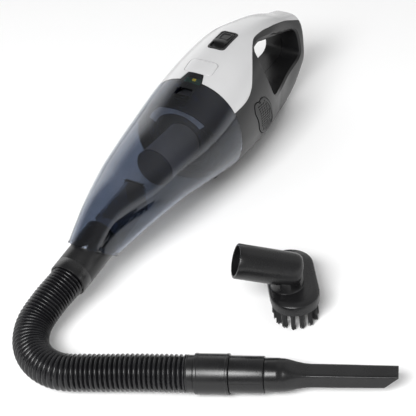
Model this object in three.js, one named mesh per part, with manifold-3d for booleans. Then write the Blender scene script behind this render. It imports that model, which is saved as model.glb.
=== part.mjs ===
// Cordless handheld vacuum with a see-through dust bin, a flexible hose, a crevice tool and a dusting brush.
// Millimetres, +Z up. The nose points along -Y and the vacuum's left side is +X.
// The origin is the middle of the front foot's sole, on the table.
import * as THREE from "three";
import { mergeVertices } from "three/addons/utils/BufferGeometryUtils.js";
import Module from "manifold-3d";

const wasm = await Module();
wasm.setup();

// ---------------------------------------------------------------- driving dimensions
const GAP = 0.3; // clearance between pieces that touch
const WALL = 2.2; // housing and cover wall
const BIN_WALL = 2; // clear bin wall
const SEAM_Y = -8; // where the bin meets the housing
const TAIL_Y = 178; // last full section of the housing
const AXIS_Z = 62; // height of the motor, fan and filter axis
const RING_POINTS = 28; // points round each body section
const SLIVER = 0.01; // facets thinner than this are merged into their neighbours

// Body sections: [y, top z, bottom z, half width, squareness of the superellipse]
const SECTIONS = [
  [-226, 54, 21, 15, 2.2],
  [-216, 60, 22, 17, 2.2],
  [-176, 85, 22, 24, 2.2],
  [-130, 93, 28, 36.5, 2.2],
  [-90, 100, 27, 43.5, 2.2],
  [-50, 106, 21, 50, 2.2],
  [-8, 117, 11, 53.3, 2.2],
  [35, 126, 6, 51, 2.3],
  [75, 128, 5, 45.5, 2.5],
  [105, 123, 2.5, 34, 2.9],
  [135, 114.5, 2, 25.5, 3.2],
  [160, 103, 10, 22.5, 3.2],
  [178, 96, 27, 22, 3.2],
];

// Places where every skin of the body has a ring, so that nested skins stay parallel.
const STATIONS = [
  -216, -200, -188, -176, -160, -140, -115, -90, -68, -48, -28, -8, 6, 20, 34, 48, 62, 76, 90, 104, 118, 132, 146, 160, 170,
];

// The nozzle mouth is cut on a slope: its upper lip reaches further forward.
const MOUTH = { y: -196, z: 42, slope: -1.1 };
// The hose adapter leaves the mouth centre, tipping a little down.
const NOZZLE_AXIS = new THREE.Vector3(0, -0.9886, -0.1506);

// Side outline (y, z) of the finger opening, and how much lower the grip's underside hangs in the middle.
const OPENING = [
  [63, 113], [66.2, 117.4], [71.5, 118.8], [84, 118], [104, 111.5], [129, 103], [153, 93], [163, 88], [168, 81],
  [170.5, 66], [171.2, 56], [167, 51], [156, 48.5], [122, 47.2], [100, 51], [82, 58], [75, 62], [69.5, 69],
  [63.5, 83.5], [60.5, 98],
];
const GRIP_SAG = 9;
const GRIP_HALF = 24; // half width over which the underside is rounded

// Side outline (y, z) of the joint between the white cover and the black housing.
const COVER_EDGE = [
  [-20, 90], [8, 90.5], [21, 93], [30, 97.5], [38, 104], [48, 111.4], [58, 117.2], [69, 121.4], [80, 122.9],
  [97, 120.2], [112, 116], [128, 111], [150, 102.6], [171, 92.8], [190, 84],
];

const SWITCH = { y: 55.5, width: 20, length: 32, travel: 6 };
const BUTTON = { y0: 3.6, y1: 21, half: 16, travel: 3 };
const TAB = { y1: 2.3, halfFront: 13, halfRear: 8.5 };
const HOOD_Y = -43; // front edge of the filter's hood
const FILTER = { y0: -27, grip: -36, end: -84, radius: 18.5, flange: 38 };
const FAN = { radius: 33, y0: 2, y1: 13 };
const MOTOR = { radius: 17.5, y0: 22.8, y1: 55 };
const CELL = { radius: 9.1, length: 65, x: 9.5, y: 82, z: 30 };
const HOSE = { radius: 16.4, sides: 10, steps: 36 };
const CUFF = { radius: 18.2, length: 42, bore: 14.2 };

// The straight run of the hose end: its start, its heading on the table, and stations along it.
const RUN = { x: 152.5, y: -278, z: 17.9, heading: Math.atan2(0.41, 0.912) };
const RUN_STATIONS = { collar: 7, sleeve: 36.7, adapter: 66.2, socket: 85, blade: 101, tip: 174 };

// Dusting brush: centre of its oval base, heading of the long axis, base size, and the rising neck.
const BRUSH = { x: 179, y: -140.3, heading: Math.atan2(-0.808, 0.59), length: 84, width: 45 };
const BRUSH_HEIGHT = { bristle: 17.5, ring: 20.5, plate: 28.5 };
const NECK = { radius: 15.8, bore: 13.6, length: 55.5, rise: 20.5, x: 8.6, y: 3.3, z: 43 };
const NECK_FOOT = { radius: 15.5, bore: 12.6, y: -5.1, top: 40 };

// ---------------------------------------------------------------- materials
function plastic(color, roughness = 0.5) {
  return new THREE.MeshStandardMaterial({ color, roughness, metalness: 0 });
}
function metal(color, roughness = 0.3) {
  return new THREE.MeshStandardMaterial({ color, roughness, metalness: 1 });
}
function smokedClear() {
  return new THREE.MeshStandardMaterial({ color: 0x39404c, roughness: 0.08, transparent: true, opacity: 0.55 });
}
const BLACK = plastic(0x1c1c1d, 0.45);
const WHITE = plastic(0xe6e6e8, 0.2);
const GREY = plastic(0x6c6c72, 0.5);
const BROWN_GREY = plastic(0x4a4446, 0.8);
const RUBBER = plastic(0x161616, 0.85);
const GREEN = plastic(0x1d5b3a, 0.5);
const STEEL = metal(0xb9bcc0);

// ---------------------------------------------------------------- solid helpers
// The geometry with its shared vertices merged, so that only positions are left.
function indexed(geometry) {
  const bare = geometry.clone();
  bare.deleteAttribute("normal");
  bare.deleteAttribute("uv");
  return mergeVertices(bare, 1e-4);
}

function toSolid(geometry) {
  const merged = indexed(geometry);
  const mesh = new wasm.Mesh({
    numProp: 3,
    vertProperties: new Float32Array(merged.attributes.position.array),
    triVerts: new Uint32Array(merged.index.array),
  });
  return new wasm.Manifold(mesh);
}

function toGeometry(solid) {
  const mesh = solid.getMesh();
  const geometry = new THREE.BufferGeometry();
  geometry.setAttribute("position", new THREE.BufferAttribute(new Float32Array(mesh.vertProperties), 3));
  geometry.setIndex(new THREE.BufferAttribute(new Uint32Array(mesh.triVerts), 1));
  geometry.computeVertexNormals();
  return geometry;
}

function union(solids) {
  return solids.reduce((sum, next) => sum.add(next));
}

function placed(geometry, x, y, z) {
  return geometry.clone().translate(x, y, z);
}

// A box given by its two corners.
function block(x0, x1, y0, y1, z0, z1) {
  const box = new THREE.BoxGeometry(x1 - x0, y1 - y0, z1 - z0);
  return toSolid(placed(box, (x0 + x1) / 2, (y0 + y1) / 2, (z0 + z1) / 2));
}

// A body of revolution about Y through (0, AXIS_Z): profile points are [radius, y], going round the section.
function turned(profile, segments = 24) {
  const points = profile.map(([radius, y]) => new THREE.Vector2(radius, y));
  return turnedOut(indexed(new THREE.LatheGeometry(points, segments)));
}

function aboutMotorAxis(solid) {
  return solid.translate([0, 0, AXIS_Z]);
}

// A ring of revolution with a bore, between y0 and y1.
function washer(outer, inner, y0, y1, segments = 24) {
  return turned([[inner, y0], [outer, y0], [outer, y1], [inner, y1], [inner, y0]], segments);
}

function rod(radius, y0, y1, segments = 20) {
  return turned([[0, y0], [radius, y0], [radius, y1], [0, y1]], segments);
}

// Joins closed rings of points (all the same count) into one closed solid with flat ends.
function loft(rings) {
  const count = rings[0].length;
  const positions = rings.flat().flatMap((p) => [p.x, p.y, p.z]);
  const index = [];
  for (let r = 0; r < rings.length - 1; r++) {
    for (let k = 0; k < count; k++) {
      const a = r * count + k;
      const b = r * count + ((k + 1) % count);
      index.push(a, b, b + count, a, b + count, a + count);
    }
  }
  [0, rings.length - 1].forEach((r, end) => {
    const centre = rings[r].reduce((sum, p) => sum.add(p), new THREE.Vector3()).divideScalar(count);
    const hub = positions.length / 3;
    positions.push(centre.x, centre.y, centre.z);
    for (let k = 0; k < count; k++) {
      const a = r * count + k;
      const b = r * count + ((k + 1) % count);
      if (end === 0) index.push(hub, b, a);
      else index.push(hub, a, b);
    }
  });
  const geometry = new THREE.BufferGeometry();
  geometry.setAttribute("position", new THREE.Float32BufferAttribute(positions, 3));
  geometry.setIndex(index);
  return turnedOut(geometry);
}

// A solid from a closed geometry, with its faces turned outwards.
function turnedOut(geometry) {
  const solid = toSolid(geometry);
  if (solid.volume() > 0) return solid;
  const flipped = geometry.clone();
  const order = Array.from(flipped.index.array);
  for (let t = 0; t < order.length; t += 3) [order[t + 1], order[t + 2]] = [order[t + 2], order[t + 1]];
  flipped.setIndex(order);
  return toSolid(flipped);
}

// A side outline (y, z) extruded across the width, from x0 to x1.
function sideProfile(outline, x0, x1) {
  const shape = new THREE.Shape(outline.map(([y, z]) => new THREE.Vector2(y, z)));
  const prism = new THREE.ExtrudeGeometry(shape, { depth: x1 - x0, bevelEnabled: false });
  // Extrusion runs along +Z with the outline in XY: turn it so that it runs along +X with the outline in YZ.
  prism.applyMatrix4(new THREE.Matrix4().set(0, 0, 1, x0, 1, 0, 0, 0, 0, 1, 0, 0, 0, 0, 0, 1));
  return toSolid(prism);
}

// A plan outline (x, y) extruded upwards from z0 to z1.
function planPrism(outline, z0, z1) {
  const shape = new THREE.Shape(outline.map(([x, y]) => new THREE.Vector2(x, y)));
  const prism = new THREE.ExtrudeGeometry(shape, { depth: z1 - z0, bevelEnabled: false });
  prism.translate(0, 0, z0);
  return toSolid(prism);
}

function roundedRectangle(halfX, y0, y1, radius, steps = 4) {
  const corners = [
    [halfX - radius, y0 + radius, -90],
    [halfX - radius, y1 - radius, 0],
    [-halfX + radius, y1 - radius, 90],
    [-halfX + radius, y0 + radius, 180],
  ];
  return corners.flatMap(([cx, cy, start]) =>
    Array.from({ length: steps + 1 }, (_, k) => {
      const angle = THREE.MathUtils.degToRad(start + (90 * k) / steps);
      return [cx + radius * Math.cos(angle), cy + radius * Math.sin(angle)];
    })
  );
}

// ---------------------------------------------------------------- the body's outer skin
// Value of one column of SECTIONS at y, through the stations with smooth slopes.
function sectionValue(column, y) {
  const last = SECTIONS.length - 1;
  const i = Math.max(0, Math.min(last - 1, SECTIONS.findIndex((row) => row[0] > y) - 1));
  const j = y >= SECTIONS[last][0] ? last - 1 : i;
  const slope = (k) => {
    const a = SECTIONS[Math.max(0, k - 1)];
    const b = SECTIONS[Math.min(last, k + 1)];
    return (b[column] - a[column]) / (b[0] - a[0]);
  };
  const span = SECTIONS[j + 1][0] - SECTIONS[j][0];
  const t = (y - SECTIONS[j][0]) / span;
  const h00 = (1 + 2 * t) * (1 - t) * (1 - t);
  const h10 = t * (1 - t) * (1 - t);
  const h01 = t * t * (3 - 2 * t);
  const h11 = t * t * (t - 1);
  return h00 * SECTIONS[j][column] + h10 * span * slope(j) + h01 * SECTIONS[j + 1][column] + h11 * span * slope(j + 1);
}

function sectionRing(y, inset, atY = y) {
  const top = sectionValue(1, y) - inset;
  const bottom = sectionValue(2, y) + inset;
  const half = sectionValue(3, y) - inset;
  const power = 2 / sectionValue(4, y);
  return Array.from({ length: RING_POINTS }, (_, k) => {
    const angle = (2 * Math.PI * k) / RING_POINTS;
    const c = Math.cos(angle);
    const s = Math.sin(angle);
    const x = half * Math.sign(c) * Math.abs(c) ** power;
    const z = (top + bottom) / 2 + ((top - bottom) / 2) * Math.sign(s) * Math.abs(s) ** power;
    return new THREE.Vector3(x, atY, z);
  });
}

// The body between y0 and y1, shrunk by inset all round.
function bodyLoft(y0, y1, inset) {
  const between = STATIONS.filter((y) => y > y0 + 1 && y < y1 - 1);
  return loft([y0, ...between, y1].map((y) => sectionRing(y, inset)));
}

// The housing's outer form, with its rear edge rounded over.
function housingForm() {
  const stations = [SEAM_Y + GAP / 2, ...STATIONS.filter((y) => y > SEAM_Y + 1), TAIL_Y];
  const rings = stations.map((y) => sectionRing(y, 0));
  rings.push(sectionRing(TAIL_Y, 1, TAIL_Y + 1.8), sectionRing(TAIL_Y, 3, TAIL_Y + 3));
  return loft(rings);
}

// Everything in front of the sloping mouth plane, moved forward by shift.
function aheadOfMouth(shift) {
  const reach = 80;
  const plane = (z) => MOUTH.y + MOUTH.slope * (z - MOUTH.z) - shift;
  const low = MOUTH.z - reach;
  const high = MOUTH.z + reach;
  return sideProfile([[plane(low), low], [plane(high), high], [plane(low) - 400, high], [plane(low) - 400, low]], -90, 90);
}

// The finger opening as a solid: full outline at the sides, and a rounded, lower top in the middle.
function openingForm(grow) {
  const centre = [115, 78];
  const outline = (x) => {
    const middle = Math.sqrt(Math.max(0, 1 - (x / GRIP_HALF) ** 2));
    return OPENING.map(([y, z], k) => {
      const before = OPENING[(k + OPENING.length - 1) % OPENING.length];
      const after = OPENING[(k + 1) % OPENING.length];
      const run = new THREE.Vector2(after[0] - before[0], after[1] - before[1]).normalize();
      const upper = THREE.MathUtils.clamp((z - centre[1]) / 30, 0, 1);
      const rear = THREE.MathUtils.clamp((y - centre[0]) / 50, 0, 1) * (1 - upper);
      return new THREE.Vector3(
        x,
        y - run.y * grow - middle * 2.5 * rear,
        z + run.x * grow - middle * GRIP_SAG * upper
      );
    });
  };
  const stations = [-70, -GRIP_HALF, -19, -10, 0, 10, 19, GRIP_HALF, 70];
  return loft(stations.map(outline));
}

// Space above the cover's edge line, moved up by lift.
function aboveCoverEdge(lift) {
  const edge = COVER_EDGE.map(([y, z]) => [y, z + lift]);
  return sideProfile([...edge, [190, 200], [-20, 200]], -90, 90);
}
function belowCoverEdge(drop) {
  const edge = COVER_EDGE.map(([y, z]) => [y, z - drop]);
  return sideProfile([...edge, [190, -60], [-20, -60]], -90, 90);
}

// ---------------------------------------------------------------- casings
const SCREWS = [[67, 32], [161, 32], [47, 97]];

function housingShell() {
  const opening = openingForm(0);
  const cavity = bodyLoft(SEAM_Y - 4, TAIL_Y + 0.6, WALL).subtract(openingForm(WALL));
  return housingForm().subtract(cavity).subtract(opening);
}

function alongX(solid, x, y, z) {
  return solid.rotate([0, 0, -90]).translate([x, y, z]);
}

function screwBosses(side) {
  const bosses = SCREWS.map(([y, z]) => {
    const reach = sectionRing(y, WALL / 2).reduce((best, p) => (Math.abs(p.z - z) < 12 ? Math.max(best, p.x) : best), 0);
    return alongX(rod(3.6, 0, reach - 1, 12), side > 0 ? GAP / 2 : -(reach - 1), y, z);
  });
  const skin = bodyLoft(SEAM_Y, TAIL_Y, WALL / 2);
  return union(bosses.map((boss) => boss.intersect(skin)));
}

function grilleSeat(side, clearance) {
  const outline = [[20, 60], [27, 79], [32, 80], [33.5, 84], [40, 86.5], [49, 84], [57, 70], [62, 52], [58, 38], [36, 36], [27, 42]];
  const grown = outline.map(([y, z]) => [y + Math.sign(y - 41) * clearance, z + Math.sign(z - 60) * clearance]);
  return side > 0 ? sideProfile(grown, 20, 90) : sideProfile(grown, -90, -20);
}

function housingHalf(side) {
  const half = side > 0 ? block(GAP / 2, 90, -60, 240, -20, 200) : block(-90, -GAP / 2, -60, 240, -20, 200);
  let shell = housingShell().intersect(half).intersect(belowCoverEdge(GAP / 2)).add(screwBosses(side));
  const holes = SCREWS.map(([y, z]) => alongX(rod(side > 0 ? 1.6 : 1.9, 0, side > 0 ? 12 : 70, 12), side > 0 ? 0 : -70, y, z));
  if (side < 0) {
    const heads = SCREWS.map(([y, z]) => alongX(rod(3.5, 0, 60, 16), -60 - headDepth(y), y, z));
    shell = shell.subtract(union(heads));
  }
  shell = shell.subtract(union(holes));
  shell = shell.subtract(grilleSeat(side, 0.3));
  shell = shell.subtract(rod(6, TAIL_Y - 12, TAIL_Y + 6, 20).translate([0, 0, 38]));
  return keepLargest(shell);
}

// How far in from the mid-plane each screw head sits.
function headDepth(y) {
  return y < 100 ? 30 : 13;
}

function keepLargest(solid) {
  const pieces = solid.decompose();
  return pieces.reduce((best, piece) => (piece.volume() > best.volume() ? piece : best));
}

function topCover() {
  let shell = housingShell().intersect(aboveCoverEdge(GAP / 2));
  const tab = [
    [-TAB.halfFront - 0.5, SEAM_Y - 2], [TAB.halfFront + 0.5, SEAM_Y - 2],
    [TAB.halfRear + 0.5, TAB.y1 + 0.4], [-TAB.halfRear - 0.5, TAB.y1 + 0.4],
  ];
  shell = shell.subtract(planPrism(tab, 100, 140));
  shell = shell.subtract(planPrism(roundedRectangle(BUTTON.half + 0.4, BUTTON.y0 - 0.4, BUTTON.y1 + 0.4, 4), 100, 140));
  const slot = roundedRectangle(SWITCH.width / 2 + GAP, SWITCH.y - 16.3, SWITCH.y + 16.3, 4);
  shell = shell.subtract(planPrism(slot, 112, 140));
  return keepLargest(shell);
}

function exhaustGrille(side) {
  const skin = bodyLoft(-2, 80, 0).subtract(bodyLoft(-4, 82, 2.6)).subtract(openingForm(WALL + GAP));
  let grille = skin.intersect(grilleSeat(side, 0));
  for (let k = 0; k < 4; k++) {
    const y = 30 + 7.5 * k;
    const slot = block(side > 0 ? 20 : -90, side > 0 ? 90 : -20, y, y + 2.6, 47 + k, 74 - k);
    grille = grille.subtract(slot);
  }
  return keepLargest(grille);
}

// ---------------------------------------------------------------- dust bin and nozzle
function dustBin() {
  const outer = bodyLoft(-226, SEAM_Y - GAP / 2, 0);
  const inner = bodyLoft(-226, SEAM_Y + 4, BIN_WALL);
  const tail = bodyLoft(SEAM_Y - 3, 6, 0).subtract(bodyLoft(SEAM_Y - 4, 8, BIN_WALL));
  const tab = [
    [-TAB.halfFront, SEAM_Y - 2], [TAB.halfFront, SEAM_Y - 2], [TAB.halfRear, TAB.y1], [-TAB.halfRear, TAB.y1],
  ];
  const latchWindow = block(-8.6, 8.6, -27.5, -18.5, 100, 130);
  return keepLargest(
    outer.subtract(inner).add(tail.intersect(planPrism(tab, 100, 140))).subtract(aheadOfMouth(0)).subtract(latchWindow)
  );
}

function ductRing(y, half, z0, z1) {
  return roundedRectangle(half, z0, z1, Math.min(half, 7)).map(([x, z]) => new THREE.Vector3(x, y, z));
}

function inletDuct() {
  const outer = loft([ductRing(-168, 14, 30, 60), ductRing(-145, 13, 34, 64), ductRing(-122, 12, 37, 68)]);
  const inner = loft([ductRing(-170, 12.4, 31.6, 58.4), ductRing(-145, 11.4, 35.6, 62.4), ductRing(-120, 10.4, 38.6, 66.4)]);
  const rib = block(-1.2, 1.2, -166, -124, 29.5, 38);
  return outer.add(rib.intersect(bodyLoft(-190, -100, BIN_WALL + GAP))).subtract(inner);
}

function inletFlap() {
  const plate = block(-11.5, 11.5, -121.7, -120.5, 37.5, 66);
  const barrel = alongX(rod(1.5, 0, 20, 10), -10, -120.1, 67);
  return plate.add(barrel).subtract(alongX(rod(0.7, 0, 30, 8), -15, -120.1, 67));
}

function flapPin() {
  return alongX(rod(0.5, 0, 25, 8), -12.5, -120.1, 67);
}

// The black collar that carries the bin and the filter: a cup with a wide hole in its wall and a thin hood in front.
function filterSeat() {
  const inset = WALL + 0.4;
  const hood = bodyLoft(-48, -26, inset + 1.4);
  const outer = bodyLoft(HOOD_Y, 4, inset).subtract(hood);
  const inner = bodyLoft(-23.8, 6, inset + 2.2);
  const hole = aboutMotorAxis(rod(34, -40, 0, 36));
  const hookSlot = block(-9.6, 9.6, -40, 10, 101.8, 130);
  const ledSlot = block(-14, 14, SEAM_Y - 4, 8, 111, 130);
  return keepLargest(outer.subtract(inner).subtract(hole).subtract(hookSlot).subtract(ledSlot));
}

// ---------------------------------------------------------------- filter
function filterFrame() {
  return turned([
    [31.4, -20], [33.6, -20], [33.6, FILTER.y0], [36, FILTER.y0], [36, -30], [18.2, -30], [18.2, -33], [16, -33], [16, -28],
    [31.4, -28], [31.4, -20],
  ]);
}
function filterGripRing() {
  return washer(FILTER.flange, 29, FILTER.grip, -30.3);
}
function filterCup() {
  return turned([
    [FILTER.radius, -33.3], [FILTER.radius + 0.6, FILTER.end], [FILTER.radius - 1.4, FILTER.end], [FILTER.radius - 2, -33.3],
    [FILTER.radius, -33.3],
  ]);
}
function filterEndDisc() {
  return turned([[0, -87.6], [19.2, -87.6], [20, -86.4], [20, FILTER.end - GAP], [0, FILTER.end - GAP]]);
}

// ---------------------------------------------------------------- fan and motor
function fanHousing() {
  const r = FAN.radius;
  return turned([
    [13, -2], [r + 5, -2], [r + 5, 17], [r + 3, 17], [r + 3, 0], [13, 0], [13, -2],
  ]);
}
function impeller() {
  const back = washer(FAN.radius, 3.5, FAN.y1 - 2, FAN.y1);
  const hub = washer(5, 2, FAN.y0 + 2, FAN.y1 + 1, 16);
  const blade = block(4.2, FAN.radius - 1, FAN.y0 + 1, FAN.y1 - 1, -0.7, 0.7);
  const blades = Array.from({ length: 9 }, (_, k) => blade.rotate([0, 14 + 40 * k, 0]));
  return union([back, hub, ...blades]);
}
function motorMount() {
  return turned([[5, 18.5], [FAN.radius + 4.6, 18.5], [FAN.radius + 4.6, 21], [MOTOR.radius + 3, 21], [MOTOR.radius + 3, 27],
    [MOTOR.radius + 0.5, 27], [MOTOR.radius + 0.5, 22.5], [5, 22.5], [5, 18.5]]);
}
function motorCan() {
  return turned([
    [2.2, MOTOR.y0], [MOTOR.radius - 1, MOTOR.y0], [MOTOR.radius, MOTOR.y0 + 1], [MOTOR.radius, MOTOR.y1],
    [2.2, MOTOR.y1], [2.2, MOTOR.y0],
  ]);
}
function motorEndCap() {
  return washer(14.5, 2.2, MOTOR.y1 + GAP, MOTOR.y1 + 3.2);
}
function motorShaft() {
  return rod(1.6, FAN.y0 + 1, MOTOR.y1 + 2.8, 12);
}

// ---------------------------------------------------------------- battery, boards, socket
function batteryCell() {
  return turned([[0, 0], [CELL.radius - 0.6, 0], [CELL.radius, 0.6], [CELL.radius, CELL.length - 1.2],
    [3, CELL.length - 1.2], [3, CELL.length], [0, CELL.length]], 20);
}
function batteryTray() {
  const y0 = CELL.y - 2.6;
  const y1 = CELL.y + CELL.length + 0.4;
  return union([
    block(-16.5, 16.5, y0, y1 + 2.2, 18, 20.4),
    block(-16.5, 16.5, y0, y0 + 2.2, 18, 38),
    block(-16.5, 16.5, y1, y1 + 2.2, 18, 38),
  ]);
}
function chargeSocket() {
  return turned([[0, TAIL_Y - 9], [5.6, TAIL_Y - 9], [5.6, TAIL_Y + 2.6], [3.4, TAIL_Y + 2.6], [3.4, TAIL_Y - 5],
    [0, TAIL_Y - 5]], 20);
}

// ---------------------------------------------------------------- switch and release button
function switchBezel() {
  const z = 127;
  const outer = planPrism(roundedRectangle(SWITCH.width / 2, SWITCH.y - 16, SWITCH.y + 16, 4), 117, z + 4);
  const well = planPrism(roundedRectangle(SWITCH.width / 2 - 2, SWITCH.y - 14, SWITCH.y + 14, 3), 121.3, 140);
  const stem = block(-2.6, 2.6, SWITCH.y - 9.5, SWITCH.y + 5.5, 110, 130);
  const skin = bodyLoft(30, 82, -0.5);
  return keepLargest(outer.intersect(skin).subtract(well).subtract(stem));
}
function switchSlider() {
  const y0 = SWITCH.y - 7;
  const y1 = SWITCH.y + 13.4;
  const plate = planPrism(roundedRectangle(7.6, y0, y1, 2.5), 121.7, 126.6);
  const lip = planPrism(roundedRectangle(7.6, y0, y0 + 5, 2.4), 122, 128.4);
  const stem = block(-2.2, 2.2, SWITCH.y - 2.5, SWITCH.y + 4.5, 114, 122.5);
  const grooves = Array.from({ length: 4 }, (_, k) => block(-6, 6, y0 + 7 + 3 * k, y0 + 8.2 + 3 * k, 126, 130));
  return union([plate, lip, stem]).subtract(union(grooves));
}
function releaseButton() {
  const outline = roundedRectangle(BUTTON.half, BUTTON.y0, BUTTON.y1, 4);
  const skin = bodyLoft(-4, 30, 0.2).subtract(bodyLoft(-6, 32, 2.6));
  const pad = keepLargest(skin.intersect(planPrism(outline, 104, 140)));
  const stem = block(-5, 5, 8, 14, 110.4, 119);
  return keepLargest(pad.add(stem));
}
function latchHook() {
  return union([
    block(-6, 6, -26.5, 7.4, 105.6, 108.2),
    block(-7.6, 7.6, -26.5, -20, 105.6, 109.2),
    block(-6, 6, 7, 15, 105.6, 110),
  ]);
}
function helixSpring(radius, wire, height, turns, steps) {
  class Helix extends THREE.Curve {
    getPoint(t, target = new THREE.Vector3()) {
      const angle = 2 * Math.PI * turns * t;
      return target.set(radius * Math.cos(angle), radius * Math.sin(angle), height * t);
    }
  }
  const section = new THREE.Shape(Array.from({ length: 5 }, (_, k) => {
    const angle = (2 * Math.PI * k) / 5;
    return new THREE.Vector2(wire * Math.cos(angle), wire * Math.sin(angle));
  }));
  return turnedOut(indexed(new THREE.ExtrudeGeometry(section, { steps, extrudePath: new Helix() })));
}
// ---------------------------------------------------------------- hose
// Turns a solid made along +Y so that it runs along the nozzle axis, with y = 0 at the mouth centre.
function alongNozzle(solid) {
  const tip = THREE.MathUtils.radToDeg(Math.asin(-NOZZLE_AXIS.z));
  return solid.rotate([0, 0, 180]).rotate([tip, 0, 0]).translate([0, MOUTH.y, MOUTH.z]);
}

// The nozzle's inside, up to the rear plane given, less whatever could not slide out through the mouth.
function slidesOut(rear, inset) {
  const rim = bodyLoft(-226, -150, inset).intersect(aheadOfMouth(-0.6)).subtract(aheadOfMouth(0));
  const ends = [-45, 30].map((t) => {
    const move = NOZZLE_AXIS.clone().multiplyScalar(t);
    return rim.translate([move.x, move.y, move.z]);
  });
  return bodyLoft(-226, rear, inset).intersect(rim.add(ends[0]).add(ends[1]).hull().simplify(0.05));
}

function hoseAdapter() {
  const hollow = slidesOut(-178, BIN_WALL + 2.9).subtract(aheadOfMouth(10.8));
  const plug = slidesOut(-181, BIN_WALL + 0.9).subtract(aheadOfMouth(13)).subtract(hollow);
  const sleeve = alongNozzle(rod(CUFF.radius, -20, CUFF.length, 28)).intersect(aheadOfMouth(0.6));
  const bore = alongNozzle(rod(CUFF.bore, -40, CUFF.length - 18, 24));
  const hoseSocket = alongNozzle(rod(HOSE.radius + GAP, CUFF.length - 18.4, CUFF.length + 5, 28));
  return keepLargest(plug.add(sleeve).subtract(bore).subtract(hoseSocket));
}

function runPoint(s, lift = 0) {
  return new THREE.Vector3(
    RUN.x + s * Math.cos(RUN.heading),
    RUN.y + s * Math.sin(RUN.heading),
    RUN.z + lift
  );
}

// The hose's route: out of the adapter, down to the table, round the bend and along the straight run.
function hoseRoute() {
  const start = new THREE.Vector3(0, MOUTH.y, MOUTH.z).addScaledVector(NOZZLE_AXIS, CUFF.length - 17.6);
  const rim = new THREE.Vector3(0, MOUTH.y, MOUTH.z).addScaledVector(NOZZLE_AXIS, CUFF.length + 2);
  return new THREE.CatmullRomCurve3(
    [
      start,
      rim,
      new THREE.Vector3(-2.5, -263.4, 30),
      new THREE.Vector3(-2, -289.2, 23),
      new THREE.Vector3(9, -309, 18.6),
      new THREE.Vector3(28, -321, 17.2),
      new THREE.Vector3(50, -323, 17),
      new THREE.Vector3(76, -312.8, 17.2),
      runPoint(-45),
      runPoint(-GAP),
    ],
    false,
    "centripetal"
  );
}

function hoseTube() {
  const section = new THREE.Shape(Array.from({ length: HOSE.sides }, (_, k) => {
    const angle = (2 * Math.PI * (k + 0.5)) / HOSE.sides;
    return new THREE.Vector2(HOSE.radius * Math.cos(angle), HOSE.radius * Math.sin(angle));
  }));
  return turnedOut(indexed(new THREE.ExtrudeGeometry(section, { steps: HOSE.steps, extrudePath: hoseRoute() })));
}

// Turns a solid made along +Y so that it runs along the hose's straight end, with y = 0 at the hose's end.
function alongRun(solid) {
  return solid.rotate([0, 0, THREE.MathUtils.radToDeg(RUN.heading) - 90]).translate([RUN.x, RUN.y, RUN.z]);
}

function hoseCollar() {
  return washer(16, 12.6, 0, RUN_STATIONS.collar);
}
function hoseSleeve() {
  return washer(17.6, 14.6, RUN_STATIONS.collar + GAP, RUN_STATIONS.sleeve, 28);
}
function toolAdapter() {
  const s = RUN_STATIONS;
  return turned([
    [12.6, s.sleeve - 16], [14.3, s.sleeve - 16], [14.3, s.sleeve + GAP], [16, s.sleeve + GAP], [15.8, s.adapter],
    [12.6, s.adapter], [12.6, s.sleeve - 16],
  ], 28);
}

// A section of the crevice tool at station s: round in the socket, a flat rounded bar in the blade.
function toolRing(s, halfWidth, halfHeight, squareness, count = 24) {
  return Array.from({ length: count }, (_, k) => {
    const angle = (2 * Math.PI * (k + 0.5)) / count;
    const c = Math.cos(angle);
    const q = Math.sin(angle);
    const x = halfWidth * Math.sign(c) * Math.abs(c) ** (2 / squareness);
    const z = halfHeight * Math.sign(q) * Math.abs(q) ** (2 / squareness);
    return new THREE.Vector3(x, s, z);
  });
}

function creviceTool() {
  const s = RUN_STATIONS;
  const stub = rod(12.3, s.adapter - 15, s.adapter + 6, 24);
  const outer = loft([
    toolRing(s.adapter + GAP, 14.4, 14.4, 2),
    toolRing(s.socket, 14.4, 14.4, 2),
    toolRing(s.socket + 7, 12.2, 11.6, 2.6),
    toolRing(s.blade, 9.2, 7.9, 5),
    toolRing(s.blade + 6, 8.2, 6.9, 8),
    toolRing(s.tip + 4, 7.7, 6.5, 8),
  ]);
  const inner = loft([
    toolRing(s.adapter - 16, 10.8, 10.8, 2),
    toolRing(s.socket, 10.8, 10.8, 2),
    toolRing(s.socket + 7, 9.8, 9, 2.6),
    toolRing(s.blade, 7.6, 6.2, 5),
    toolRing(s.blade + 6, 6.6, 5.3, 8),
    toolRing(s.tip + 6, 6.1, 4.9, 8),
  ]);
  // The tip is cut on a slope, so that the upper face reaches further.
  const slope = sideProfile([[s.tip - 13, -8.2], [s.tip + 20, -8.2], [s.tip + 20, 8.2], [s.tip + 1, 8.2], [s.tip - 1, 5]], -20, 20);
  return keepLargest(outer.add(stub).subtract(inner).subtract(slope));
}

// ---------------------------------------------------------------- dusting brush
function stadium(length, width, steps = 8) {
  const r = width / 2;
  const half = length / 2 - r;
  return [half, -half].flatMap((cx, end) =>
    Array.from({ length: steps + 1 }, (_, k) => {
      const angle = THREE.MathUtils.degToRad(-90 + end * 180 + (180 * k) / steps);
      return [cx + r * Math.cos(angle), r * Math.sin(angle)];
    })
  );
}

// The neck rises away from the base's centre line, towards the base's own -Y side.
function alongNeck(solid) {
  return solid.rotate([0, 0, 180]).rotate([-NECK.rise, 0, 0]).translate([NECK.x, NECK.y, NECK.z]);
}

// An upright rod below the neck's root, centred on the neck's foot.
function underNeck(radius, top, bottom, sides) {
  return rod(radius, 0, top - bottom, sides).rotate([-90, 0, 0]).translate([NECK.x, NECK_FOOT.y, top]);
}

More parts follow.
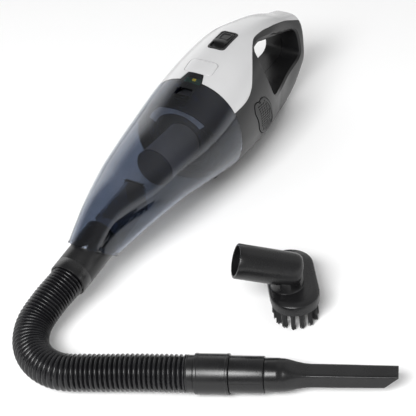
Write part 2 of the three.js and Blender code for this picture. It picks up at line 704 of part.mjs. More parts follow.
function brushHead() {
  const plate = planPrism(stadium(BRUSH.length, BRUSH.width), BRUSH_HEIGHT.ring + GAP, BRUSH_HEIGHT.plate - 2)
    .add(planPrism(stadium(BRUSH.length - 2, BRUSH.width - 2), BRUSH_HEIGHT.plate - 2.2, BRUSH_HEIGHT.plate));
  const r = NECK.radius;
  const neck = alongNeck(turned([
    [0, -3.5], [r - 4, -3.5], [r - 1.4, -2.4], [r, 0.6], [r, NECK.length], [0, NECK.length],
  ], 24));
  const foot = underNeck(NECK_FOOT.radius, NECK_FOOT.top, BRUSH_HEIGHT.plate - 4, 24);
  const above = block(-60, 60, -90, 60, BRUSH_HEIGHT.ring + GAP, 100);
  const bore = alongNeck(rod(NECK.bore, -1, NECK.length + 5, 20));
  const well = underNeck(NECK_FOOT.bore, NECK_FOOT.top - 0.6, 0, 20);
  return keepLargest(union([plate, neck, foot]).intersect(above).subtract(bore).subtract(well));
}

// The bristles are a plain skirt under their ring.
function brushBristles() {
  const ring = planPrism(stadium(BRUSH.length - 2, BRUSH.width - 2), BRUSH_HEIGHT.bristle, BRUSH_HEIGHT.ring);
  const skirt = planPrism(stadium(BRUSH.length - 5, BRUSH.width - 5), 0, BRUSH_HEIGHT.bristle + 1);
  return ring.add(skirt).subtract(planPrism(stadium(BRUSH.length - 16, BRUSH.width - 16), -1, 40));
}

// ---------------------------------------------------------------- feet and screws
function frontFoot() {
  const sole = planPrism(roundedRectangle(14, -6.5, 6.5, 2.5), 0, 16);
  return sole.subtract(bodyLoft(-20, 20, -GAP));
}
function rearFoot() {
  const sole = planPrism(roundedRectangle(11, 98, 122, 4), 0, 6);
  return sole.subtract(bodyLoft(80, 140, -GAP));
}
function screw(y) {
  const depth = headDepth(y);
  return turned([[0, -depth - 2.4], [3.1, -depth - 2.4], [3.1, -depth - GAP], [1.4, -depth - GAP], [1.4, 8], [0, 9]], 12);
}

// ---------------------------------------------------------------- assembly
const vacuum = new THREE.Group();
const device = new THREE.Group();
const hoseSet = new THREE.Group();
const brush = new THREE.Group();
brush.position.set(BRUSH.x, BRUSH.y, 0);
brush.rotation.z = BRUSH.heading;
vacuum.add(device, hoseSet, brush);

function add(group, name, solid, material) {
  const mesh = new THREE.Mesh(toGeometry(keepLargest(solid.simplify(SLIVER))), material);
  mesh.name = name;
  group.add(mesh);
  return mesh;
}

add(device, "housing_left", housingHalf(1), BLACK);
add(device, "housing_right", housingHalf(-1), BLACK);
add(device, "top_cover", topCover(), WHITE);
add(device, "exhaust_grille_left", exhaustGrille(1), BLACK);
add(device, "exhaust_grille_right", exhaustGrille(-1), BLACK);
add(device, "filter_seat", filterSeat(), BLACK);
add(device, "fan_housing", aboutMotorAxis(fanHousing()), GREY);
add(device, "motor_mount", aboutMotorAxis(motorMount()), BLACK);
add(device, "motor_can", aboutMotorAxis(motorCan()), STEEL);
add(device, "motor_end_cap", aboutMotorAxis(motorEndCap()), BLACK);
add(device, "motor_shaft", aboutMotorAxis(motorShaft()), STEEL);
add(device, "fan_impeller", aboutMotorAxis(impeller()), GREY);
add(device, "battery_tray", batteryTray(), BLACK);
for (const [name, side] of [["battery_cell_left", 1], ["battery_cell_right", -1]]) {
  add(device, name, batteryCell().translate([side * CELL.x, CELL.y, CELL.z]), plastic(0x2b5f8f, 0.4));
}
add(device, "charge_socket", chargeSocket().translate([0, 0, 38]), BLACK);
add(device, "control_board", block(-12, 12, 24, 44, 103, 104.6), GREEN);
add(device, "led_board", block(-9, 9, -6.5, 1.5, 111.8, 112.8), GREEN);
add(device, "status_led", block(-1.2, 2, -4, -1.4, 113.1, 114.2), plastic(0xe0c050, 0.3));
add(device, "switch_bezel", switchBezel(), BLACK);
add(device, "switch_slider", switchSlider(), BLACK);
add(device, "release_button", releaseButton(), WHITE);
add(device, "latch_hook", latchHook(), BLACK);
add(device, "release_spring", helixSpring(2.6, 0.35, 4.2, 3, 30).translate([0, 11, 100.8]), STEEL);
add(device, "front_foot", frontFoot(), RUBBER);
add(device, "rear_foot", rearFoot(), RUBBER);
SCREWS.forEach(([y, z], k) => {
  add(device, `housing_screw_${k + 1}`, alongX(screw(y), 0, y, z), STEEL);
});

add(device, "dust_bin", dustBin(), smokedClear());
add(device, "inlet_duct", inletDuct(), smokedClear());
add(device, "inlet_flap", inletFlap(), RUBBER);
add(device, "flap_pin", flapPin(), STEEL);

add(device, "filter_frame", aboutMotorAxis(filterFrame()), BLACK);
add(device, "filter_grip_ring", aboutMotorAxis(filterGripRing()), GREY);
add(device, "filter_cup", aboutMotorAxis(filterCup()), BROWN_GREY);
add(device, "filter_end_disc", aboutMotorAxis(filterEndDisc()), BLACK);

add(hoseSet, "hose_adapter", hoseAdapter(), BLACK);
add(hoseSet, "hose", hoseTube(), BLACK);
add(hoseSet, "hose_collar", alongRun(hoseCollar()), BLACK);
add(hoseSet, "hose_sleeve", alongRun(hoseSleeve()), BLACK);
add(hoseSet, "tool_adapter", alongRun(toolAdapter()), BLACK);
add(hoseSet, "crevice_tool", alongRun(creviceTool()), BLACK);

add(brush, "brush_head", brushHead(), BLACK);
add(brush, "brush_bristles", brushBristles(), RUBBER);

export default vacuum;
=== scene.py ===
import random
from math import atan2, copysign, cos, exp, pi, radians, sin, sqrt

import bmesh
import bpy
from mathutils import Matrix, Vector


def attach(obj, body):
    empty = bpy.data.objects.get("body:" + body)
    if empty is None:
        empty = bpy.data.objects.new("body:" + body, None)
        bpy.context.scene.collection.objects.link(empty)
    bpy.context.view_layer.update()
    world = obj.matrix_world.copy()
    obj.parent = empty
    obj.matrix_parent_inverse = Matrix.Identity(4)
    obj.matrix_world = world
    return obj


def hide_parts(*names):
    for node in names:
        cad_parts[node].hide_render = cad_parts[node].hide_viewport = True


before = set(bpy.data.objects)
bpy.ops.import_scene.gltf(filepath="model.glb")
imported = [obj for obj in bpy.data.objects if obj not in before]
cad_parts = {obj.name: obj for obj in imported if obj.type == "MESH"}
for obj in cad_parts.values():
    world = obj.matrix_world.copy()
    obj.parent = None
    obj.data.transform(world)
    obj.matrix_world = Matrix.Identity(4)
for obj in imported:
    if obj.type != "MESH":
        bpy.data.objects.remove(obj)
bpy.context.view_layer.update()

MM = 0.001
X_AXIS, Y_AXIS, UP = Vector((1, 0, 0)), Vector((0, 1, 0)), Vector((0, 0, 1))
NEAR_AXIS = 0.01  # radius at which a solid of revolution ends, in place of 0
random.seed(7)

# --- body outline (millimetres)
# Sections of the body: y, top z, bottom z, half width, squareness of the superellipse.
SECTIONS = [
    (-226, 54, 21, 15, 2.2), (-216, 60, 22, 17, 2.2), (-176, 85, 22, 24, 2.2), (-130, 93, 28, 36.5, 2.2),
    (-90, 100, 27, 43.5, 2.2), (-50, 106, 21, 50, 2.2), (-8, 117, 11, 53.3, 2.2), (35, 126, 6, 51, 2.3),
    (75, 128, 5, 45.5, 2.5), (105, 123, 2.5, 34, 2.9), (135, 114.5, 2, 25.5, 3.2), (160, 103, 10, 22.5, 3.2),
    (178, 96, 27, 22, 3.2),
]
# Finger opening and lower edge of the cover, seen from the side: (y, z).
OPENING = [
    (63, 113), (66.2, 117.4), (71.5, 118.8), (84, 118), (104, 111.5), (129, 103), (153, 93), (163, 88),
    (168, 81), (170.5, 66), (171.2, 56), (167, 51), (156, 48.5), (122, 47.2), (100, 51), (82, 58), (75, 62),
    (69.5, 69), (63.5, 83.5), (60.5, 98),
]
COVER_EDGE = [
    (-20, 90), (8, 90.5), (21, 93), (30, 97.5), (38, 104), (48, 111.4), (58, 117.2), (69, 121.4),
    (80, 122.9), (97, 120.2), (112, 116), (128, 111), (150, 102.6), (171, 92.8), (190, 84),
]
SEAM_Y, TAIL_Y, AXIS_Z, GAP, WALL, BIN_WALL = -8, 178, 62, 0.3, 2.2, 2.0
MOUTH = (-196, 42, -1.1)  # the nozzle's slanting mouth: y and z of its middle, change of y with z
MOUTH_CENTRE = Vector((0, MOUTH[0], MOUTH[1]))
NOZZLE_AXIS = Vector((0, -0.9886, -0.1506)).normalized()
GRIP_HALF, GRIP_SAG = 24, 9  # half width of the grip, and how far its underside hangs in the middle
AROUND = 112  # points round the body
STEP = 2.5  # distance between its rings


def section_value(column, y):
    """One column of SECTIONS, smoothly interpolated at y."""
    last = len(SECTIONS) - 1
    i = 0
    while i < last - 1 and SECTIONS[i + 1][0] <= y:
        i += 1

    def slope(k):
        a, b = SECTIONS[max(0, k - 1)], SECTIONS[min(last, k + 1)]
        return (b[column] - a[column]) / (b[0] - a[0])

    a, b = SECTIONS[i], SECTIONS[i + 1]
    span = b[0] - a[0]
    t = (y - a[0]) / span
    return (
        (1 + 2 * t) * (1 - t) ** 2 * a[column] + t * (1 - t) ** 2 * span * slope(i)
        + t * t * (3 - 2 * t) * b[column] + t * t * (t - 1) * span * slope(i + 1)
    )


def section(y, inset):
    """Middle height, half height, half width and squareness of the body's section at y."""
    top, bottom = section_value(1, y) - inset, section_value(2, y) + inset
    return (top + bottom) / 2, (top - bottom) / 2, section_value(3, y) - inset, section_value(4, y)


def signed_power(value, power):
    return copysign(abs(value) ** power, value)


def turns(count):
    return [2 * pi * k / count for k in range(count)]


def skin_point(y, angle, inset=0.0):
    """Point of the body's skin at station y, angle from +X towards +Z."""
    middle, rise, half, n = section(y, inset)
    return Vector((half * signed_power(cos(angle), 2 / n), y,
                   middle + rise * signed_power(sin(angle), 2 / n)))


def skin_x(y, z, inset=0.0):
    """Half width of the body at (y, z)."""
    middle, rise, half, n = section(y, inset)
    return half * (1 - min(1.0, abs(z - middle) / rise) ** n) ** (1 / n)


def skin_top(x, y, inset=0.0):
    """Height of the body's top at (x, y)."""
    middle, rise, half, n = section(y, inset)
    return middle + rise * (1 - min(1.0, abs(x) / half) ** n) ** (1 / n)


def ring(y, inset=0.0, at_y=None):
    """The body's outline at station y, moved to at_y if that is given."""
    pts = [skin_point(y, angle, inset) for angle in turns(AROUND)]
    return pts if at_y is None else [Vector((p.x, at_y, p.z)) for p in pts]


def spaced(a, b, step):
    n = max(1, int(round((b - a) / step)))
    return [a + (b - a) * k / n for k in range(n + 1)]


def smooth_line(points, per, closed=False):
    """Catmull-Rom line through the points of a flat outline."""
    out = []
    n = len(points)
    pts = [Vector((*p, 0)) for p in points]
    for i in range(n if closed else n - 1):
        p0 = pts[(i - 1) % n] if closed or i > 0 else pts[0]
        p1 = pts[i]
        p2 = pts[(i + 1) % n]
        p3 = pts[(i + 2) % n] if closed or i + 2 < n else pts[-1]
        for k in range(per):
            t = k / per
            out.append(
                0.5 * (2 * p1 + (p2 - p0) * t + (2 * p0 - 5 * p1 + 4 * p2 - p3) * t * t
                       + (3 * p1 - p0 - 3 * p2 + p3) * t ** 3)
            )
    if not closed:
        out.append(pts[-1])
    return out


def turning(line):
    """+1 for an outline drawn anticlockwise in its own plane, -1 for a clockwise one."""
    area = sum(p.x * q.y - q.x * p.y for p, q in zip(line, line[1:] + line[:1]))
    return 1 if area > 0 else -1


def grown(line, grow):
    """A closed flat outline moved outwards by grow."""
    grow *= turning(line)
    moved = []
    for k, p in enumerate(line):
        run = (line[(k + 1) % len(line)] - line[k - 1]).normalized()
        moved.append(Vector((p.x + run.y * grow, p.y - run.x * grow, 0)))
    return moved


# --- mesh helpers
def new_object(name, data):
    obj = bpy.data.objects.new(name, data)
    bpy.context.scene.collection.objects.link(obj)
    return obj


def to_object(bm, name):
    mesh = bpy.data.meshes.new(name)
    bm.to_mesh(mesh)
    bm.free()
    return new_object(name, mesh)


def finish_mesh(bm, name, material=None, sharp=32):
    bmesh.ops.remove_doubles(bm, verts=bm.verts, dist=0.000002)
    bmesh.ops.recalc_face_normals(bm, faces=bm.faces)
    obj = to_object(bm, name)
    shade(obj, sharp)
    if material:
        obj.data.materials.append(material)
    return obj


def shade(obj, sharp=32):
    mesh = obj.data
    mesh.polygons.foreach_set("use_smooth", [True] * len(mesh.polygons))
    mesh.set_sharp_from_angle(angle=radians(sharp))


def add_rings(bm, rings, loop=False):
    """Quads between rings of points (millimetres); flat caps at the ends unless the rings loop."""
    rows = [[bm.verts.new(p * MM) for p in r] for r in rings]
    count = len(rows[0])
    pairs = list(zip(rows, rows[1:]))
    if loop:
        pairs.append((rows[-1], rows[0]))
    for a, b in pairs:
        for k in range(count):
            j = (k + 1) % count
            bm.faces.new((a[k], a[j], b[j], b[k]))
    if not loop:
        bm.faces.new(rows[0])
        bm.faces.new(rows[-1])


def tube(name, rings, material=None, loop=False, sharp=32):
    bm = bmesh.new()
    add_rings(bm, rings, loop)
    return finish_mesh(bm, name, material, sharp)


def prism_x(name, outline, x0, x1):
    """Side outline (y, z) extruded across the width."""
    return tube(name, [[Vector((x, p[0], p[1])) for p in outline] for x in (x0, x1)])


def prism_z(name, outline, z0, z1):
    """Plan outline (x, y) extruded upwards."""
    return tube(name, [[Vector((p[0], p[1], z)) for p in outline] for z in (z0, z1)])


def slab(name, x0, x1, y0, y1, z0, z1):
    return prism_z(name, [(x0, y0), (x1, y0), (x1, y1), (x0, y1)], z0, z1)


def csg(obj, other, operation):
    """Cuts, joins or keeps the overlap of obj and other; other is used up."""
    mod = obj.modifiers.new("csg", "BOOLEAN")
    mod.operation = operation
    mod.object = other
    mod.solver = "MANIFOLD"
    dg = bpy.context.evaluated_depsgraph_get()
    mesh = bpy.data.meshes.new_from_object(obj.evaluated_get(dg))
    old = obj.data
    obj.modifiers.clear()
    obj.data = mesh
    bpy.data.meshes.remove(old)
    remove(other)
    return obj


def less(obj, other):
    return csg(obj, other, "DIFFERENCE")


def remove(obj):
    mesh = obj.data
    bpy.data.objects.remove(obj)
    bpy.data.meshes.remove(mesh)


def copy_of(obj, name):
    return new_object(name, obj.data.copy())


def paint(mesh, material):
    """One material on every face."""
    mesh.materials.clear()
    mesh.materials.append(material)
    mesh.polygons.foreach_set("material_index", [0] * len(mesh.polygons))


def finished(obj, name, material, sharp=35):
    """The name, shading and single material of a piece that is cut to shape."""
    obj.name = name
    shade(obj, sharp)
    paint(obj.data, material)
    return obj


def rounded(half_x, y0, y1, radius, steps=6):
    """A rectangle about x = 0 with rounded corners."""
    out = []
    for cx, cy, start in (
        (half_x - radius, y0 + radius, -90), (half_x - radius, y1 - radius, 0),
        (-half_x + radius, y1 - radius, 90), (-half_x + radius, y0 + radius, 180),
    ):
        for k in range(steps + 1):
            a = radians(start + 90 * k / steps)
            out.append((cx + radius * cos(a), cy + radius * sin(a)))
    return out


def frame_of(direction):
    """Two unit vectors across a direction; the first is the flattest."""
    d = direction.normalized()
    side = d.cross(UP if abs(d.z) < 0.99 else Y_AXIS).normalized()
    return side, side.cross(d).normalized()


def circle(centre, side, up, radius, count):
    return [centre + side * (radius * cos(a)) + up * (radius * sin(a)) for a in turns(count)]


def lathe_rings(profile, origin, direction, count=64):
    """Rings about an axis: profile points are (radius, distance along the axis)."""
    d = direction.normalized()
    side, up = frame_of(d)
    return [circle(origin + d * s, side, up, r, count) for r, s in profile]


def round_corners(profile, radius, steps=3):
    """A closed profile with its corners rounded."""
    out = []
    n = len(profile)
    for i in range(n):
        p0, p1, p2 = (Vector(profile[(i + k) % n]) for k in (-1, 0, 1))
        a, b = p0 - p1, p2 - p1
        r = min(radius, a.length * 0.45, b.length * 0.45)
        if r < 0.02:
            out.append(tuple(p1))
            continue
        a, b = p1 + a.normalized() * r, p1 + b.normalized() * r
        for k in range(steps + 1):
            t = k / steps
            out.append(tuple(a * (1 - t) ** 2 + 2 * p1 * t * (1 - t) + b * t * t))
    return out


def lathe(name, profile, origin, direction, material, count=64, rounding=0.6):
    """A ring-shaped body of revolution from a closed profile that stays off the axis."""
    rings = lathe_rings(round_corners(profile, rounding), origin, direction, count)
    return tube(name, rings, material, loop=True, sharp=40)


def lathe_solid(name, profile, origin, direction, count=64):
    """A body of revolution whose open profile starts and ends near the axis."""
    return tube(name, lathe_rings(profile, origin, direction, count), sharp=40)


def rod(name, radius, start, end, origin, direction, count=64):
    """A plain cylinder between two distances along a direction."""
    profile = [(NEAR_AXIS, start), (radius, start), (radius, end), (NEAR_AXIS, end)]
    return lathe_solid(name, profile, origin, direction, count)


def join(name, objs):
    """One object from several, each face with the material it had."""
    bm = bmesh.new()
    mats = []
    for o in objs:
        start = len(bm.faces)
        bm.from_mesh(o.data)
        bm.faces.ensure_lookup_table()
        for m in o.data.materials:
            if m not in mats:
                mats.append(m)
        for f in bm.faces[start:]:
            mat = o.data.materials[f.material_index] if o.data.materials else None
            f.material_index = mats.index(mat) if mat else 0
    for o in objs:
        remove(o)
    obj = to_object(bm, name)
    for m in mats:
        obj.data.materials.append(m)
    shade(obj, 40)
    return obj


# --- camera
CAMERA_AT = Vector((681.48, -957.35, 830.05))
CAMERA_AZIMUTH, CAMERA_HEIGHT, CAMERA_ROLL = 35.6, 36.7, 7.0
SENSOR_WIDTH, FOCAL_LENGTH = 36, 120.029


def make_camera():
    data = bpy.data.cameras.new("camera")
    data.sensor_width = SENSOR_WIDTH
    data.lens = FOCAL_LENGTH
    data.clip_start = 0.01
    data.clip_end = 30
    cam = new_object("camera", data)
    az, el, roll = (radians(a) for a in (CAMERA_AZIMUTH, CAMERA_HEIGHT, CAMERA_ROLL))
    back = Vector((sin(az) * cos(el), -cos(az) * cos(el), sin(el)))
    right = Vector((cos(az), sin(az), 0))
    up = back.cross(right)
    right, up = right * cos(roll) - up * sin(roll), right * sin(roll) + up * cos(roll)
    turned = Matrix((right, up, back)).transposed().to_4x4()
    cam.matrix_world = Matrix.Translation(CAMERA_AT * MM) @ turned
    bpy.context.scene.camera = cam


make_camera()


# --- materials
def material(name):
    mat = bpy.data.materials.new(name)
    mat.use_nodes = True
    tree = mat.node_tree
    tree.nodes.clear()
    shader = add_node(tree, "BsdfPrincipled", {})
    add_node(tree, "OutputMaterial", {"Surface": shader.outputs[0]})
    return mat, tree, shader


def feed(tree, node, inputs):
    """Sets inputs of a node to values, or links them where the value is another node's output."""
    for key, value in inputs.items():
        if isinstance(value, bpy.types.NodeSocket):
            tree.links.new(value, node.inputs[key])
        else:
            node.inputs[key].default_value = value


def add_node(tree, kind, inputs, **settings):
    node = tree.nodes.new("ShaderNode" + kind)
    for key, value in settings.items():
        setattr(node, key, value)
    feed(tree, node, inputs)
    return node


def calc(tree, operation, a, b):
    return add_node(tree, "Math", {0: a, 1: b}, operation=operation).outputs[0]


def position(tree, scale=(1, 1, 1)):
    """Object coordinates in metres, scaled."""
    coord = add_node(tree, "TexCoord", {}).outputs["Object"]
    return add_node(tree, "Mapping", {"Vector": coord, "Scale": scale}).outputs["Vector"]


def noise(tree, scale, detail=3.0, rough=0.5, vector=None):
    inputs = {"Scale": scale, "Detail": detail, "Roughness": rough, "Vector": vector or position(tree)}
    return add_node(tree, "TexNoise", inputs).outputs["Fac"]


def ramp(tree, value, stops):
    node = add_node(tree, "ValToRGB", {"Fac": value})
    elements = node.color_ramp.elements
    while len(elements) < len(stops):
        elements.new(0.5)
    for element, (pos, colour) in zip(elements, stops):
        element.position = pos
        element.color = (*colour, 1)
    return node.outputs["Color"]


def spread(tree, value, low, high, from_low=0.3, from_high=0.7, curve="LINEAR"):
    """The value moved from the range from_low..from_high to low..high."""
    inputs = {"Value": value, "From Min": from_low, "From Max": from_high, "To Min": low, "To Max": high}
    return add_node(tree, "MapRange", inputs, interpolation_type=curve).outputs["Result"]


def mixed(tree, factor, a, b):
    a, b = ((*v, 1) if isinstance(v, tuple) else v for v in (a, b))
    return add_node(tree, "Mix", {"Factor": factor, 6: a, 7: b}, data_type="RGBA").outputs[2]


def bump(tree, shader, height, strength, distance):
    inputs = {"Height": height, "Strength": strength, "Distance": distance}
    feed(tree, shader, {"Normal": add_node(tree, "Bump", inputs).outputs["Normal"]})


def shaded(colour, factor, more=0.0):
    return tuple(min(1, c * factor + more) for c in colour)


def plastic(name, colour, roughness, grain, depth, spot, scuff=0.0, coat=0.0, gloss=0.4):
    """Moulded plastic: fine spark-eroded grain, cloudy gloss and light scuffs."""
    mat, tree, shader = material(name)
    cloud, fine = noise(tree, 22, 4, 0.6), noise(tree, grain, 2, 0.5)
    base = ramp(tree, cloud, [
        (0.35, shaded(colour, 1 - spot)), (0.5, colour), (0.68, shaded(colour, 1 + spot)),
    ])
    if scuff:
        streak = noise(tree, 90, 6, 0.7, position(tree, (1.0, 0.16, 1.4)))
        mask = ramp(tree, streak, [(0.0, (0, 0, 0)), (0.66, (0, 0, 0)), (0.74, (scuff,) * 3)])
        base = mixed(tree, mask, base, shaded(colour, 2.2, 0.05))
    cloudy = spread(tree, cloud, roughness - 0.05, roughness + 0.06)
    feed(tree, shader, {
        "Base Color": base, "Roughness": calc(tree, "ADD", cloudy, spread(tree, fine, -0.02, 0.03)),
        "IOR": 1.5, "Specular IOR Level": gloss,
    })
    bump(tree, shader, fine, 0.35, depth)
    if coat:
        feed(tree, shader, {"Coat Weight": coat, "Coat Roughness": 0.06})
    return mat


def smoke_plastic(name, tint, roughness=0.03):
    """Clear smoke-tinted polycarbonate with faint dust and flow marks."""
    mat, tree, shader = material(name)
    cloud, speck = noise(tree, 14, 3, 0.5), noise(tree, 30, 3, 0.5)
    feed(tree, shader, {
        "Base Color": ramp(tree, cloud, [(0.3, tint), (0.7, shaded(tint, 1.12))]),
        "Roughness": spread(tree, speck, roughness, roughness + 0.03, 0.45, 0.8),
        "Transmission Weight": 1.0, "IOR": 1.5,
    })
    bump(tree, shader, cloud, 0.04, 0.0001)
    return mat


def steel(name, colour, roughness):
    mat, tree, shader = material(name)
    brushed = noise(tree, 60, 5, 0.7, position(tree, (1, 40, 1)))
    feed(tree, shader, {
        "Base Color": ramp(tree, brushed, [(0.3, shaded(colour, 0.8)), (0.7, colour)]),
        "Roughness": spread(tree, brushed, roughness - 0.08, roughness + 0.1), "Metallic": 1,
    })
    bump(tree, shader, brushed, 0.2, 0.00003)
    return mat


def filter_cloth(name, colour):
    """Woven filter paper with dust in it."""
    mat, tree, shader = material(name)
    weave, cloud = noise(tree, 900, 4, 0.7), noise(tree, 40, 5, 0.6)
    dusty = mixed(tree, spread(tree, cloud, 0, 1), shaded(colour, 0.7), colour)
    feed(tree, shader, {
        "Base Color": mixed(tree, spread(tree, weave, 0, 0.4), dusty, shaded(colour, 1.4)),
        "Roughness": 0.62, "Sheen Weight": 0.2,
    })
    bump(tree, shader, weave, 0.5, 0.0001)
    return mat


def board(name):
    """Green lacquered circuit board with tracks and pads."""
    mat, tree, shader = material(name)
    brick = add_node(tree, "TexBrick", {
        "Scale": 260, "Color1": (0.02, 0.24, 0.12, 1), "Color2": (0.03, 0.32, 0.16, 1),
        "Mortar": (0.10, 0.30, 0.18, 1), "Vector": position(tree),
    })
    gloss = spread(tree, noise(tree, 500), 0.25, 0.45)
    feed(tree, shader, {"Base Color": brick.outputs["Color"], "Roughness": gloss})
    bump(tree, shader, brick.outputs["Fac"], 0.3, 0.00005)
    return mat


WHITE = plastic("glossy_white", (0.52, 0.52, 0.525), 0.2, 2600, 0.000008, 0.02, 0.0, 0.35)
BLACK = plastic("satin_black", (0.0085, 0.0085, 0.009), 0.33, 1900, 0.00003, 0.2, 0.10)
GRIP = plastic("grip_black", (0.009, 0.009, 0.0095), 0.40, 1500, 0.00005, 0.2, 0.12)
PAD_FINISH = plastic("pad_black", (0.009, 0.009, 0.0095), 0.46, 1300, 0.00006, 0.2, 0.1)
TOOL = plastic("tool_black", (0.0075, 0.0075, 0.008), 0.28, 1600, 0.00003, 0.2, 0.16)
HOSE = plastic("hose_black", (0.006, 0.006, 0.007), 0.24, 1200, 0.00004, 0.22, 0.12)
NYLON = plastic("bristle_black", (0.011, 0.011, 0.012), 0.45, 3000, 0.00001, 0.3)
RUBBER = plastic("soft_rubber", (0.02, 0.02, 0.021), 0.75, 1100, 0.00006, 0.25)
RING_GREY = plastic("ring_grey", (0.9, 0.89, 0.88), 0.3, 1500, 0.00003, 0.08)
FAN_GREY = plastic("fan_grey", (0.11, 0.115, 0.12), 0.45, 1500, 0.00003, 0.1)
INNER = plastic("inner_black", (0.008, 0.012, 0.034), 0.5, 1500, 0.000005, 0.2, gloss=0.2)
CELL = plastic("cell_blue", (0.03, 0.10, 0.24), 0.3, 900, 0.00002, 0.1)
LENS = plastic("lens_yellow", (0.9, 0.66, 0.04), 0.25, 900, 0.00001, 0.05)
feed(LENS.node_tree, LENS.node_tree.nodes["Principled BSDF"],
     {"Emission Color": (0.9, 0.6, 0.04, 1), "Emission Strength": 0.8})
SMOKE = smoke_plastic("smoke_clear", (0.25, 0.285, 0.355))
DUCT = smoke_plastic("smoke_duct", (0.22, 0.24, 0.29), 0.06)
PAPER = filter_cloth("filter_paper", (0.34, 0.28, 0.25))
STEEL = steel("plain_steel", (0.62, 0.62, 0.64), 0.32)
BOARD = board("board_green")


# --- hose and tools
RUN_ORIGIN = Vector((152.5, -278, 17.9))
RUN_DIR = Vector((0.912, 0.41, 0)).normalized()
RUN_SIDE = Vector((RUN_DIR.y, -RUN_DIR.x, 0))
COLLAR_END, SLEEVE_END, ADAPTER_END, SOCKET_END, BLADE_START, TIP = 7, 36.7, 66.2, 85, 101, 174
CUFF_RADIUS, CUFF_LENGTH, HOSE_RADIUS = 18.2, 42, 16.4


def run_point(s, side=0.0, up=0.0):
    """Point at distance s along the straight run of hose fittings and crevice tool."""
    return RUN_ORIGIN + RUN_DIR * s + RUN_SIDE * side + UP * up


def hose_route():
    lying = [(-2.5, -263.4, 30), (-2, -289.2, 23), (9, -309, 18.6), (28, -321, 17.2), (50, -323, 17),
             (76, -312.8, 17.2)]
    controls = [MOUTH_CENTRE + NOZZLE_AXIS * (CUFF_LENGTH + d) for d in (-17.6, 2)]
    controls += [Vector(p) for p in lying] + [run_point(-45), run_point(-GAP)]
    return centripetal(controls, 40)


def centripetal(points, per):
    """Centripetal Catmull-Rom curve through the points, as the CAD hose follows."""
    out = []
    n = len(points)
    for i in range(n - 1):
        p1, p2 = points[i], points[i + 1]
        p0 = points[i - 1] if i else p1 * 2 - p2
        p3 = points[i + 2] if i + 2 < n else p2 * 2 - p1
        d0, d1, d2 = (max(1e-4, (b - a).length ** 0.5) for a, b in ((p0, p1), (p1, p2), (p2, p3)))
        m1 = ((p1 - p0) / d0 - (p2 - p0) / (d0 + d1) + (p2 - p1) / d1) * d1
        m2 = ((p2 - p1) / d1 - (p3 - p1) / (d1 + d2) + (p3 - p2) / d2) * d1
        for k in range(per):
            t = k / per
            out.append(
                p1 * (2 * t ** 3 - 3 * t * t + 1) + m1 * (t ** 3 - 2 * t * t + t)
                + p2 * (3 * t * t - 2 * t ** 3) + m2 * (t ** 3 - t * t)
            )
    out.append(points[-1])
    return out


def even(points, step):
    """The line resampled at even steps."""
    lengths = [0.0]
    for a, b in zip(points, points[1:]):
        lengths.append(lengths[-1] + (b - a).length)
    n = max(2, int(round(lengths[-1] / step)))
    out, i = [], 0
    for k in range(n + 1):
        s = lengths[-1] * k / n
        while i < len(points) - 2 and lengths[i + 1] < s:
            i += 1
        t = (s - lengths[i]) / max(1e-6, lengths[i + 1] - lengths[i])
        out.append(points[i].lerp(points[i + 1], min(1, max(0, t))))
    return out, lengths[-1]


def swept(points):
    """Point, side and up at each point of a line, without twist."""
    frames = []
    side = None
    for i, p in enumerate(points):
        d = (points[min(i + 1, len(points) - 1)] - points[max(i - 1, 0)]).normalized()
        side = frame_of(d)[0] if side is None else (side - d * side.dot(d)).normalized()
        frames.append((p, side, side.cross(d).normalized()))
    return frames


def make_hose():
    """Corrugated tube, its ribs closer near the vacuum than on the table; also its line and length."""
    per = 10
    line, length = even(hose_route(), 0.1)
    points, s = [], 0.0
    while s < length - 0.2:
        points.append(line[int(round(s / length * (len(line) - 1)))])
        s += (3.0 + 1.2 * min(1.0, s / 150)) / per
    points.append(line[-1])
    around = 48
    rings = []
    for i, (p, side, up) in enumerate(swept(points)):
        wave = 0.5 + 0.5 * cos(2 * pi * i / per)
        rings.append(circle(p, side, up, HOSE_RADIUS - 2.3 * (1 - wave ** 0.55), around))
    hose = tube("hose_corrugated", rings, HOSE, sharp=80)
    return hose, points, length


def on_run(name, profile, count, rounding):
    return lathe(name, profile, RUN_ORIGIN, RUN_DIR, TOOL, count, rounding)


def make_hose_fittings():
    collar = join("hose_collar_moulded", [
        on_run("body", [(12.8, 0), (15.9, 0), (15.9, COLLAR_END), (12.8, COLLAR_END)], 72, 0.5),
        on_run("band", [(15.1, -0.2), (16.02, 0.13), (16.3, 0.9), (16.02, 1.67), (15.1, 2)], 72, 0.1),
    ])
    s0, s1 = COLLAR_END + GAP, SLEEVE_END
    sleeve = on_run("hose_sleeve_moulded", [
        (14.7, s0), (17.6, s0), (17.6, s0 + 2.6), (17.35, s0 + 3.0), (17.35, s1 - 2.6), (17.6, s1 - 2.2),
        (17.6, s1), (14.7, s1),
    ], 80, 0.45)
    a0, a1 = SLEEVE_END + GAP, ADAPTER_END
    adapter = join("tool_adapter_moulded", [
        on_run("body", [
            (12.8, s1 - 15.5), (14.2, s1 - 15.5), (14.2, a0), (16.0, a0), (15.8, a1), (12.8, a1),
        ], 80, 0.5),
        adapter_line(a0, a1),
    ])
    return collar, sleeve, adapter


def adapter_line(a0, a1):
    """The mould's parting line along the adapter, a fine raised seam on both sides."""
    bm = bmesh.new()
    for angle in (radians(12), radians(192)):
        outward = RUN_SIDE * cos(angle) + UP * sin(angle)
        along = RUN_SIDE * -sin(angle) + UP * cos(angle)
        rings = []
        for s in spaced(a0 + 0.6, a1 - 0.6, (a1 - a0 - 1.2) / 12):
            base = RUN_ORIGIN + RUN_DIR * s + outward * (16.0 - 0.2 * (s - a0) / (a1 - a0))
            rings.append([base + along * a + outward * b
                          for a, b in ((0.45, -0.2), (0.25, 0.16), (-0.25, 0.16), (-0.45, -0.2))])
        add_rings(bm, rings)
    return finish_mesh(bm, "line", TOOL)


